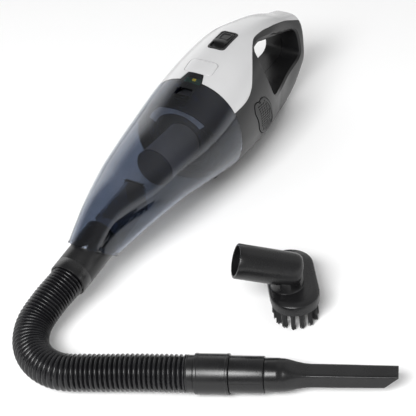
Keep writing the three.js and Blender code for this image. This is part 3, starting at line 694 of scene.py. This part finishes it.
def tool_section(s, half_width, half_height, squareness, slope=0.0):
    """A rounded rectangle across the run, its lower side set back by the slope."""
    pts = []
    for k in range(96):
        a = 2 * pi * (k + 0.5) / 96
        x = half_width * signed_power(cos(a), 2 / squareness)
        z = half_height * signed_power(sin(a), 2 / squareness)
        back = slope * min(1.0, max(0.0, (half_height - 1.0 - z) / (2 * half_height - 1.0)))
        pts.append(run_point(s - back, x, z))
    return pts


def make_crevice_tool():
    """Round socket, a shouldered transition and a flat slightly tapering blade with a slanting mouth."""
    stations = [
        (ADAPTER_END + GAP, 14.2, 14.2, 2.0), (ADAPTER_END + 0.8, 14.5, 14.5, 2.0),
        (SOCKET_END - 6, 14.4, 14.4, 2.0), (SOCKET_END - 5.6, 14.15, 14.15, 2.0),
        (SOCKET_END - 2, 14.0, 14.0, 2.0), (SOCKET_END + 0.5, 13.3, 13.2, 2.15),
        (SOCKET_END + 4.5, 11.8, 11.2, 2.7), (SOCKET_END + 9, 10.1, 9.2, 3.8),
        (BLADE_START - 2, 8.9, 7.8, 5.5), (BLADE_START + 4, 8.25, 7.0, 8.0),
        (BLADE_START + 30, 8.05, 6.8, 10.0), (TIP - 20, 7.85, 6.6, 10.0),
    ]
    dense = []
    for a, b in zip(stations, stations[1:]):
        steps = max(1, int((b[0] - a[0]) / 2.5))
        for k in range(steps):
            t = k / steps
            e = t * t * (3 - 2 * t) if b[0] - a[0] < 6 else t
            dense.append(tuple(a[j] + (b[j] - a[j]) * e for j in range(4)))
    dense.append(stations[-1])
    tip_end = TIP + 3.5
    rings = [tool_section(*station) for station in dense]
    for k in range(1, 9):
        t = k / 8
        s = TIP - 20 + (tip_end - TIP + 20) * t
        rings.append(tool_section(s, 7.85 - 0.15 * t, 6.6 - 0.1 * t, 10.0, 12.5 * t))
    rings.append(tool_section(tip_end + 0.25, 7.3, 6.1, 10.0, 12.5))
    rings.append(tool_section(tip_end - 0.1, 6.2, 5.0, 10.0, 12.3))
    for k in (6, 4, 2):
        t = k / 8
        rings.append(tool_section(TIP - 20 + (tip_end - TIP + 20) * t - 0.3, 6.2, 4.9, 10.0, 12.5 * t))
    for s, w, h, q in reversed(dense):
        rings.append(tool_section(s, max(2, w - 1.7), max(1.6, h - 1.7), q))
    for back, radius in ((14.6, 10.9), (14.6, 12.1), (0.4, 12.2)):
        rings.append(tool_section(ADAPTER_END - back, radius, radius, 2.0))
    return tube("crevice_tool_moulded", rings, TOOL, loop=True, sharp=38)


def ahead_of_mouth(shift):
    """Everything in front of the mouth's plane, which is first moved forwards by shift."""
    y0, z0, slope = MOUTH
    low, high = z0 - 80, z0 + 80
    top, bottom = y0 + slope * 80 - shift, y0 - slope * 80 - shift
    return prism_x("ahead", [(bottom, low), (top, high), (bottom - 400, high), (bottom - 400, low)], -90, 90)


def body_solid(y0, y1, inset, name="skin"):
    return tube(name, [ring(y, inset) for y in spaced(y0, y1, STEP)])


def slides_out(rear, inset):
    """The nozzle's inside, less whatever could not slide out through the mouth."""
    rim = csg(body_solid(-226, -150, inset), ahead_of_mouth(-0.6), "INTERSECT")
    less(rim, ahead_of_mouth(0))
    bm = bmesh.new()
    for t in (-45, 0, 30):
        for v in rim.data.vertices:
            bm.verts.new(v.co + NOZZLE_AXIS * (t * MM))
    remove(rim)
    hull = bmesh.ops.convex_hull(bm, input=bm.verts)
    spare = set(hull["geom_interior"]) | set(hull["geom_unused"])
    bmesh.ops.delete(bm, geom=[v for v in spare if isinstance(v, bmesh.types.BMVert)], context="VERTS")
    return csg(body_solid(-226, rear, inset), finish_mesh(bm, "way_out"), "INTERSECT")


def make_hose_adapter():
    """The cuff with its oval plug: the plug sits inside the nozzle, the round cuff takes the hose."""
    hollow = less(slides_out(-178, BIN_WALL + 2.9), ahead_of_mouth(10.8))
    plug = less(slides_out(-181, BIN_WALL + 0.9), ahead_of_mouth(13))
    less(plug, hollow)
    r, end = CUFF_RADIUS, CUFF_LENGTH
    cuff = lathe_solid("cuff", [
        (NEAR_AXIS, -20), (r, -20), (r, end - 13), (r - 0.25, end - 12.6), (r - 0.25, end - 11.6),
        (r, end - 11.2), (r, end - 0.9), (r - 0.3, end - 0.25), (r - 0.9, end), (NEAR_AXIS, end),
    ], MOUTH_CENTRE, NOZZLE_AXIS, 96)
    csg(cuff, ahead_of_mouth(0.6), "INTERSECT")
    csg(cuff, plug, "UNION")
    less(cuff, rod("bore", 14.2, -40, end - 18, MOUTH_CENTRE, NOZZLE_AXIS))
    less(cuff, rod("seat", 16.8, end - 18.4, end + 5, MOUTH_CENTRE, NOZZLE_AXIS))
    return finished(cuff, "hose_adapter_moulded", TOOL)


# --- casings
def opening_solid(grow=0.0):
    """The finger opening: full outline at the sides, and a rounded, lower top in the middle."""
    line = smooth_line(OPENING, 4, closed=True)
    wide = grown(line, grow)

    def outline(x):
        middle = sqrt(max(0.0, 1 - (x / GRIP_HALF) ** 2))
        pts = []
        for p, q in zip(line, wide):
            upper = min(1, max(0, (p.y - 78) / 30))
            rear = min(1, max(0, (p.x - 115) / 50)) * (1 - upper)
            pts.append(Vector((x, q.x - middle * 2.5 * rear, q.y - middle * GRIP_SAG * upper)))
        return pts

    stations = [GRIP_HALF * sin(radians(a)) for a in range(-90, 91, 9)]
    return tube("opening", [outline(x) for x in [-70, -40] + stations + [40, 70]]), outline


def opening_chamfer(outline, width=2.1):
    """A thin wedge along each rim of the opening, to cut its bevel."""
    rim = []
    for k in range(len(outline(30))):
        x = 30.0
        for _ in range(6):
            p = outline(x)[k]
            x = skin_x(p.y, p.z)
        rim.append(Vector((x, p.y, p.z)))
    sections = []
    for k, e in enumerate(rim):
        run = rim[(k + 1) % len(rim)] - rim[k - 1]
        run.x = 0
        run.normalize()
        away = Vector((0, -run.z, run.y))
        if away.dot(Vector((0, e.y - 112, e.z - 82))) < 0:
            away = -away
        q = e + away * width
        a = Vector((skin_x(q.y, q.z) + 0.02, q.y, q.z))
        b = e + Vector((-width, 0, 0)) + away * 0.02
        sections.append((a, b, e + (e - a) * 1.3 + (e - b) * 1.3))
    return [tube("wedge", [[Vector((side * v.x, v.y, v.z)) for v in row] for row in sections], loop=True)
            for side in (-1, 1)]


def edge_prism(offset, above):
    """Everything above, or below, the cover's lower edge moved up by offset."""
    pts = [(p.x, p.y + offset) for p in smooth_line(COVER_EDGE, 6)]
    pts += [(190, 200), (-20, 200)] if above else [(190, -60), (-20, -60)]
    return prism_x("edge", pts, -90, 90)


# Outline of the grille's pad, its raised line, and the screws on the right side: (y, z).
PAD = [
    (22.9, 72), (23.5, 79.5), (26, 81), (29.7, 80.6), (33.5, 79), (37.5, 80.2), (44, 78.5), (50, 73),
    (56, 64.5), (61, 54), (65, 43), (65.5, 35), (61.5, 31), (50, 32.5), (41, 36.8), (34, 43.5), (30, 50),
    (28.3, 58), (25.5, 66),
]
PAD_RIDGE = [(44, 74.8), (48.5, 70.8), (53.5, 63.5), (58.3, 53.2), (61.8, 43), (62.2, 36.5)]
SCREWS = [(67, 32), (161, 32), (47, 97)]


def pad_prism(side, grow):
    pts = [(p.x, p.y) for p in grown(smooth_line(PAD, 4, closed=True), grow)]
    return prism_x("pad", pts, *sorted((side * 20, side * 90)))


def body_form():
    """The hollow casing from the seam to the tail, with its finger opening and without its cuts."""
    rings = [ring(y) for y in spaced(SEAM_Y + GAP / 2, TAIL_Y, STEP)]
    for inset, dy in ((0.25, 0.9), (0.8, 1.7), (1.6, 2.35), (2.6, 2.8), (3.6, 3.0)):
        rings.append(ring(TAIL_Y, inset, TAIL_Y + dy))
    form = tube("form", rings)
    cavity = body_solid(SEAM_Y - 4, TAIL_Y + 0.6, WALL)
    web, _ = opening_solid(WALL)
    less(cavity, web)
    less(form, cavity)
    opening, outline = opening_solid()
    less(form, opening)
    for wedge in opening_chamfer(outline):
        less(form, wedge)
    return form


def make_casings():
    form = body_form()
    cover = copy_of(form, "top_cover_moulded")
    csg(cover, edge_prism(GAP / 2, True), "INTERSECT")
    csg(form, edge_prism(-GAP / 2, False), "INTERSECT")
    tab = [(-13.5, SEAM_Y - 2), (13.5, SEAM_Y - 2), (9.0, 2.7), (-9.0, 2.7)]
    less(cover, prism_z("notch", tab, 100, 140))
    less(cover, prism_z("hole", rounded(16.4, 3.2, 21.4, 4.4), 100, 140))
    less(cover, prism_z("hole", rounded(10.3, 39.2, 71.8, 4.3), 112, 140))
    finished(cover, "top_cover_moulded", WHITE)
    for side in (-1, 1):
        less(form, less(pad_prism(side, 1.0), body_solid(0, 90, 1.3)))
    less(form, rod("jack", 6, TAIL_Y - 12, TAIL_Y + 6, Vector((0, 0, 38)), Y_AXIS, 48))
    halves = []
    for side, name in ((1, "housing_left_moulded"), (-1, "housing_right_moulded")):
        half = copy_of(form, name)
        csg(half, slab("half", *sorted((side * GAP / 2, side * 90)), -60, 240, -20, 200), "INTERSECT")
        if side < 0:
            for y, z in SCREWS:
                depth = 30 if y < 100 else 13
                less(half, rod("head", 3.5, -70, -depth, Vector((0, y, z)), X_AXIS, 40))
        halves.append(finished(half, name, BLACK))
    remove(form)
    return cover, halves


def louvres():
    """Centres of the louvres: slanting columns that stay inside the pad."""
    line = smooth_line(PAD, 4, closed=True)

    def inside(y, z):
        hits = 0
        for p, q in zip(line, line[1:] + line[:1]):
            if (p.y > z) != (q.y > z) and y < p.x + (z - p.y) / (q.y - p.y) * (q.x - p.x):
                hits += 1
        return hits % 2 == 1

    out = []
    for column in range(6):
        for row in range(14):
            z = 35 + 3.3 * row + 0.8 * column
            y = 59 - 4.5 * column - 0.0042 * (z - 38) ** 2
            corners = ((-3.2, -2), (3.2, -2), (-3.2, 2), (3.2, 2), (5, 2))
            if all(inside(y + dy, z + dz) for dy, dz in corners):
                out.append((y, z))
    return out


def make_grille(side):
    """Pad let into the housing's flank, with columns of short louvres and a raised line at its rear."""
    pad = body_solid(8, 80, -0.55, "grille")
    less(pad, body_solid(4, 84, 2.6))
    csg(pad, pad_prism(side, 0.0), "INTERSECT")
    bm = bmesh.new()
    for y, z in louvres():
        x_skin = skin_x(y, z)
        outline = rounded(1.6, z - 0.75, z + 0.75, 0.65, 3)
        if side < 0:
            outline = outline[::-1]
        add_rings(bm, [[Vector((side * x, y + a, b + 0.12 * a)) for a, b in outline]
                       for x in (x_skin - 1.1, x_skin + 3)])
    less(pad, finish_mesh(bm, "slots"))
    name = "exhaust_grille_moulded_" + ("left" if side > 0 else "right")
    return join(name, [finished(pad, name, PAD_FINISH), outline_ridge(side)])


def outline_ridge(side):
    """Raised line just inside the pad's rear edge."""
    pts = [Vector((side * skin_x(p.x, p.y, -0.5), p.x, p.y)) for p in smooth_line(PAD_RIDGE, 5)]
    return tube("ridge", [circle(p, across, up, 0.75, 10) for p, across, up in swept(pts)], PAD_FINISH)


# --- dust bin
def mouth_y(angle, inset):
    """Where the skin's line at this angle meets the mouth's plane, found by steps."""
    y = -200.0
    y0, z0, slope = MOUTH
    for _ in range(60):
        y += 0.5 * (y0 + slope * (skin_point(y, angle, inset).z - z0) - y)
    return y


def bin_skin(inset, lip):
    """Rings from the seam to the slanting mouth, each column running to its own place on the mouth."""
    rear = SEAM_Y - GAP / 2
    columns = [(angle, mouth_y(angle, inset)) for angle in turns(AROUND)]
    steps = 72
    rings = []
    for i in range(steps + 1):
        row = []
        for angle, end in columns:
            y = rear + (end - rear) * (i / steps)
            row.append(skin_point(y, angle, inset - lip * exp(-((y - end) / 1.6) ** 2)))
        rings.append(row)
    return rings


def make_bin():
    shell = tube("bin", bin_skin(0.0, 0.7) + bin_skin(BIN_WALL, 0.0)[::-1], loop=True)
    tail = less(body_solid(SEAM_Y - 3, 6, 0), body_solid(SEAM_Y - 4, 8, BIN_WALL))
    tab = [(-13, SEAM_Y - 2.4), (13, SEAM_Y - 2.4), (8.5, 2.3), (-8.5, 2.3)]
    csg(tail, prism_z("tab", tab, 100, 140), "INTERSECT")
    csg(shell, tail, "UNION")
    less(shell, prism_z("window", rounded(8.6, -27.5, -18.5, 1.2), 100, 130))
    return finished(shell, "dust_bin_moulded", SMOKE)


def duct_ring(y, half, z0, z1, inset=0.0):
    pts = rounded(half - inset, z0 + inset, z1 - inset, 7 - inset * 0.6)
    return [Vector((x, y, z)) for x, z in pts]


def make_duct():
    stations = [(-168, 14, 30, 60), (-156, 13.5, 32, 62), (-145, 13, 34, 64), (-133, 12.4, 35.6, 66),
                (-122, 12, 37, 68)]
    rings = [duct_ring(*s) for s in stations] + [duct_ring(*s, 1.6) for s in reversed(stations)]
    return tube("inlet_duct_moulded", rings, DUCT, loop=True, sharp=40)


def make_filter_seat():
    inset = WALL + 0.4
    seat = body_solid(-43, 4, inset)
    less(seat, body_solid(-48, -26, inset + 1.4))
    less(seat, body_solid(-23.8, 6, inset + 2.2))
    less(seat, rod("hole", 34, -40, 0, Vector((0, 0, AXIS_Z)), Y_AXIS, 96))
    less(seat, slab("hook", -9.6, 9.6, -40, 10, 101.8, 130))
    less(seat, slab("led", -14, 14, SEAM_Y - 4, 8, 111, 130))
    return finished(seat, "filter_seat_moulded", INNER)


def make_filter():
    centre = Vector((0, 0, AXIS_Z))
    frame_piece = lathe("filter_frame_moulded", [
        (31.4, -20), (33.6, -20), (33.6, -27), (36, -27), (36, -30), (18.2, -30), (18.2, -33), (16, -33),
        (16, -28), (31.4, -28),
    ], centre, Y_AXIS, INNER, 96, 0.4)
    # The front face steps down towards the filter in fine concentric ridges.
    ring_piece = lathe("ridges", [
        (38, -30.4), (38, -35.2), (36.8, -36), (34.2, -36), (33.9, -35.2), (33.1, -35.2), (32.8, -36),
        (31.2, -36), (30.9, -35.3), (29.2, -35.3), (29, -34.4), (29, -30.4),
    ], centre, Y_AXIS, INNER, 96, 0.25)
    # The grey arc over its top has ridges of its own.
    section = [(32.2, -35.9)]
    for k in range(5):
        r = 32.3 + 1.65 * k
        section += [(r, -37.9), (r + 0.95, -37.9), (r + 1.1, -37.2), (r + 1.5, -37.2)]
    section += [(40.4, -37.2), (40.5, -35.9)]
    arc = []
    for degrees in spaced(41, 150, 109 / 40):
        radial = Vector((cos(radians(degrees)), 0, sin(radians(degrees))))
        arc.append([centre + radial * r + Y_AXIS * y for r, y in section])
    ring_piece = join("filter_grip_ring_moulded", [ring_piece, tube("arc", arc, RING_GREY)])
    cup = tube("filter_cup_woven", lathe_rings(
        [(16.6, -33.4), (18.4, -33.4), (18.6, -36)] + [(18.6 + 0.012 * k, -36 - k) for k in range(2, 47, 3)]
        + [(19.1, -84), (17.8, -84)], centre, Y_AXIS, 96), PAPER, loop=True)
    disc = tube("filter_end_disc_moulded", lathe_rings([
        (NEAR_AXIS, -84.3), (19.6, -84.3), (20.0, -84.7), (20.0, -86.2), (19.6, -86.9), (18.6, -87.2),
        (14, -87.5), (3.4, -87.6), (3.0, -87.2), (1.6, -87.0), (0.9, -87.55), (NEAR_AXIS, -87.6),
    ], centre, Y_AXIS, 96), INNER)
    return frame_piece, ring_piece, cup, disc


# --- switch and release button
def make_release_button():
    """A pad that follows the cover's top, its rim rounded over and its middle slightly raised."""
    outline = rounded(16, 3.6, 21, 4, 8)
    cx, cy = (sum(p[i] for p in outline) / len(outline) for i in (0, 1))
    rings = []
    for shrink, lower in ((1.0, 2.4), (1.0, 0.55), (0.985, 0.2), (0.955, 0.03), (0.9, 0), (0.7, -0.15),
                          (0.45, -0.25), (0.2, -0.25), (0.04, -0.25)):
        row = [(cx + (x - cx) * shrink, cy + (y - cy) * shrink) for x, y in outline]
        rings.append([Vector((x, y, skin_top(x, y, -0.25) - lower)) for x, y in row])
    return tube("release_button_moulded", rings, WHITE, sharp=50)


def make_switch():
    """Black bezel with a sunk well, and a slider with a raised lip and a framed panel."""
    outer = rounded(10, 39.5, 71.5, 4, 8)
    inner = rounded(8, 41.5, 69.5, 3, 8)
    rings = []
    for pts, lift in ((outer, -6.0), (outer, 0.3), (rounded(9.7, 39.8, 71.2, 3.8, 8), 0.75),
                      (rounded(8.6, 40.9, 70.1, 3.3, 8), 0.8), (inner, 0.3), (inner, -1.4)):
        rings.append([Vector((x, y, skin_top(x, y) + lift)) for x, y in pts])
    rings.append([Vector((x * 0.5, 55.5 + (y - 55.5) * 0.5, p.z)) for (x, y), p in zip(inner, rings[-1])])
    rings.insert(0, [Vector((p.x * 0.5, 55.5 + (p.y - 55.5) * 0.5, p.z - 1.2)) for p in rings[0]])
    bezel = tube("switch_bezel_moulded", rings, GRIP, sharp=40)
    y0, y1 = 48.5, 68.9
    bm = bmesh.new()
    for pts, lifts in (
        (rounded(7.5, y0, y1, 2.5, 6), (-4.6, 0.2, 0.65, 0.75)),
        (rounded(7.5, y0, y0 + 5.2, 2.3, 6), (0.2, 1.6, 2.1, 2.2)),
    ):
        cy = sum(p[1] for p in pts) / len(pts)
        rings = []
        for lift, shrink in zip(lifts, (1, 1, 0.95, 0.86)):
            rings.append([Vector((x * shrink, cy + (y - cy) * shrink, skin_top(x, 58) + lift))
                          for x, y in pts])
        rings.append([Vector((x * 0.3, cy + (y - cy) * 0.3, skin_top(0, 58) + lifts[-1])) for x, y in pts])
        add_rings(bm, rings)
    top = skin_top(0, 58) + 0.6
    frame_line = rounded(5.6, y0 + 7, y1 - 2, 1.4, 6)
    rings = []
    for shrink, lift in ((1.0, -0.4), (1.0, 0.55), (0.96, 0.75), (0.84, 0.75), (0.8, 0.55), (0.8, -0.4)):
        rings.append([Vector((x * shrink, 60.2 + (y - 60.2) * shrink, top + lift)) for x, y in frame_line])
    add_rings(bm, rings, loop=True)
    slider = finish_mesh(bm, "switch_slider_moulded", GRIP, 40)
    return bezel, slider


# --- dusting brush
BRUSH_CENTRE = Vector((179, -140.3, 0))
BRUSH_TURN = atan2(-0.808, 0.59)
NECK_RISE, NECK_ROOT, NECK_FOOT = radians(20.5), (8.6, 3.3, 43), (8.6, -5.1, 40)


def brush_local(x, y, z):
    c, s = cos(BRUSH_TURN), sin(BRUSH_TURN)
    return BRUSH_CENTRE + Vector((x * c - y * s, x * s + y * c, z))


def stadium(length, width, steps=16):
    r, half = width / 2, length / 2 - width / 2
    out = []
    for cx, start in ((half, -90), (-half, 90)):
        for k in range(steps + 1):
            a = radians(start + 180 * k / steps)
            out.append((cx + r * cos(a), r * sin(a)))
    return out


def stadium_rings(*stations):
    return [[brush_local(x, y, z) for x, y in stadium(length, width)] for length, width, z in stations]


def make_brush():
    head = tube("head", stadium_rings(
        (82.8, 43.8, 20.8), (84, 45, 21.4), (84, 45, 24.6), (83.4, 44.4, 26.8), (82.6, 43.6, 27.5),
        (81, 42, 27.9), (80.4, 41.4, 27.8), (79.8, 40.8, 27.95), (78.6, 39.6, 28.5), (70, 31, 28.9),
    ))
    neck_dir = brush_local(0, -cos(NECK_RISE), sin(NECK_RISE)) - BRUSH_CENTRE
    root, foot = brush_local(*NECK_ROOT), brush_local(*NECK_FOOT)
    neck = lathe_solid("neck", [
        (NEAR_AXIS, 55.5), (14.6, 55.5), (15.5, 55.2), (15.8, 54.6), (15.8, 48), (15.75, 6), (15.6, 3),
        (15.2, 0.6), (14.5, -1.2), (13.4, -2.5), (11.6, -3.4), (9, -3.7), (NEAR_AXIS, -3.8),
    ], root, neck_dir, 96)
    collar = lathe_solid("collar", [
        (NEAR_AXIS, 0), (14.0, 0), (14.6, 0.8), (14.6, 10.4), (15.2, 11.2), (15.3, 12.4), (NEAR_AXIS, 12.4),
    ], foot, -UP, 96)
    csg(head, collar, "UNION")
    csg(head, neck, "UNION")
    less(head, lathe_solid("bore", [
        (NEAR_AXIS, 60), (13.7, 60), (13.6, 54), (13.6, 1), (12.6, -0.4), (9, -1), (NEAR_AXIS, -1),
    ], root, neck_dir, 72))
    less(head, rod("well", 12.6, 0.6, 44, foot, -UP, 72))
    return finished(head, "brush_head_moulded", TOOL, 38)


def make_bristles():
    """A ring with tufts of single bristles, drawn at random about their tuft's middle."""
    bm = bmesh.new()
    add_rings(bm, stadium_rings(
        (82, 43, 18), (82.4, 43.4, 17.6), (82.4, 43.4, 20.5), (68.2, 29.2, 20.5), (68.2, 29.2, 17.6),
        (68.6, 29.6, 18),
    ), loop=True)
    line = [Vector((x, y, 0)) for x, y in stadium(75, 36)]
    path, _ = even(line + line[:1], 0.5)
    tufts, strands = 24, 28
    for t in range(tufts):
        p = path[int(len(path) * t / tufts) % len(path)]
        outward = Vector((p.x * 0.35, p.y, 0)).normalized()
        for _ in range(strands):
            a, r = random.uniform(0, 2 * pi), 2.3 * sqrt(random.random())
            bx, by = p.x + r * cos(a), p.y + r * sin(a)
            splay = random.uniform(0.1, 0.5)
            lean = outward * splay + Vector((random.gauss(0, 0.25), random.gauss(0, 0.25), 0))
            add_strand(bm, bx, by, lean, random.uniform(16.7, 17.7))
    return finish_mesh(bm, "brush_bristles_nylon", NYLON, 60)


def add_strand(bm, x, y, lean, length, top=18, radius=0.42):
    """One bristle: four-sided, thinner and bent outwards towards its tip."""
    rows = []
    for t in (0.0, 0.35, 0.7, 1.0):
        cx, cy, r = x + lean.x * t * t, y + lean.y * t * t, radius * (1 - 0.25 * t)
        rows.append([brush_local(cx + r * cos(a), cy + r * sin(a), top - length * t)
                     for a in (0.5, 2.1, 3.7, 5.2)])
    add_rings(bm, rows)


# --- assemble
def put(body, slot, **pieces):
    """Makes pieces ride on a body; each keyword is the CAD node that the piece replaces."""
    for node, piece in pieces.items():
        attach(piece, body)
        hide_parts(node)


hose, hose_path, hose_length = make_hose()
collar, sleeve, adapter = make_hose_fittings()
crevice = make_crevice_tool()
cuff = make_hose_adapter()
put("hose_set", "hose_black", hose=hose)
put("hose_set", "tool_black", hose_collar=collar, hose_sleeve=sleeve, hose_adapter=cuff)
put("adapter", "tool_black", tool_adapter=adapter)
put("crevice", "tool_black", crevice_tool=crevice)

cover, halves = make_casings()
put("vacuum_body", "white_shell", top_cover=cover)
put("vacuum_body", "black_shell", housing_left=halves[0], housing_right=halves[1])
put("vacuum_body", "black_grip", exhaust_grille_left=make_grille(1), exhaust_grille_right=make_grille(-1))
put("bin", "smoke_clear", dust_bin=make_bin(), inlet_duct=make_duct())
put("vacuum_body", "black_shell", filter_seat=make_filter_seat())
filter_frame, grip_ring, cup, disc = make_filter()
put("filter", "black_shell", filter_frame=filter_frame, filter_end_disc=disc)
put("filter", "grey_ring", filter_grip_ring=grip_ring)
put("filter", "filter_cloth", filter_cup=cup)
put("release_latch", "white_shell", release_button=make_release_button())
bezel, slider = make_switch()
put("vacuum_body", "black_grip", switch_bezel=bezel)
put("power_switch", "black_grip", switch_slider=slider)
put("dusting_brush", "tool_black", brush_head=make_brush())
put("dusting_brush", "bristle", brush_bristles=make_bristles())

# CAD solids that are seen little or not at all keep their shape and only get a finish.
NODE_FINISH = [
    (FAN_GREY, "fan_housing", "fan_impeller"),
    (INNER, "motor_mount", "motor_end_cap", "battery_tray"),
    (STEEL, "motor_can", "motor_shaft", "release_spring", "housing_screw_1", "housing_screw_2",
     "housing_screw_3", "flap_pin"),
    (CELL, "battery_cell_left", "battery_cell_right"),
    (GRIP, "charge_socket"), (BOARD, "control_board", "led_board"), (LENS, "status_led"),
    (RUBBER, "front_foot", "rear_foot", "inlet_flap"), (BLACK, "latch_hook"),
]
for finish, *nodes in NODE_FINISH:
    for node in nodes:
        paint(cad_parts[node].data, finish)


# --- floor and light
def make_stage():
    mesh = bpy.data.meshes.new("floor")
    mesh.from_pydata([(-6, -6, 0), (6, -6, 0), (6, 6, 0), (-6, 6, 0)], [], [(0, 1, 2, 3)])
    floor = new_object("floor", mesh)
    floor.location.z = -0.0004
    mat, tree, shader = material("floor_pale")
    feed(tree, shader, {"Base Color": (0.97, 0.97, 0.97, 1), "Roughness": 0.8})
    mesh.materials.append(mat)


WORLD_BASE = 0.25  # the same from every side
LIGHT_AIM = (0.08, -0.1, 0.05)
# Each lobe: the direction it comes from, the cosines at which it starts and is full, the heights at which
# it starts to fade and is gone, and its strength.
WORLD_LOBES = [
    ((0.97, 0.2, 0.15), (0.0, 0.7), 5, 6, 0.15),
    ((0.93, 0.3, 0.0), (0.5, 0.95), 0.0, 0.45, 1.6),
    ((-0.89, 0.43, 0.0), (0.5, 0.95), 0.45, 0.8, 1.5),
    ((0.1, 0.75, 0.65), (0.7, 0.95), 5, 6, 0.35),
]


def area_light(name, at, size, size_y, power):
    data = bpy.data.lights.new(name, "AREA")
    data.shape = "RECTANGLE"
    data.size, data.size_y = size, size_y
    data.energy = power
    lamp = new_object(name, data)
    lamp.location = at
    lamp.rotation_mode = "QUATERNION"
    lamp.rotation_quaternion = (Vector(LIGHT_AIM) - Vector(at)).to_track_quat("-Z", "Y")


def studio_lobe(tree, toward, width, low, high, strength):
    """Soft light from one side, whole up to the height low and gone above high."""
    view = add_node(tree, "TexCoord", {}).outputs["Generated"]
    aim = add_node(tree, "VectorMath", {0: view, 1: Vector(toward).normalized()}, operation="DOT_PRODUCT")
    height = add_node(tree, "SeparateXYZ", {0: view}).outputs["Z"]
    near = spread(tree, aim.outputs["Value"], 0, 1, *width, "SMOOTHSTEP")
    under = spread(tree, height, 1, 0, low, high, "SMOOTHSTEP")
    return calc(tree, "MULTIPLY", calc(tree, "MULTIPLY", near, under), strength)


def make_light():
    world = bpy.data.worlds.new("studio")
    bpy.context.scene.world = world
    world.use_nodes = True
    tree = world.node_tree
    total = WORLD_BASE
    for lobe in WORLD_LOBES:
        total = calc(tree, "ADD", studio_lobe(tree, *lobe), total)
    feed(tree, tree.nodes["Background"], {"Color": (1, 1, 1, 1), "Strength": total})
    area_light("key", (0.35, -1.55, 1.5), 1.1, 0.7, 42)
    area_light("fill", (0.1, -1.9, 1.3), 0.8, 0.8, 10)
    bpy.context.scene.view_settings.view_transform = "Standard"


make_stage()
make_light()
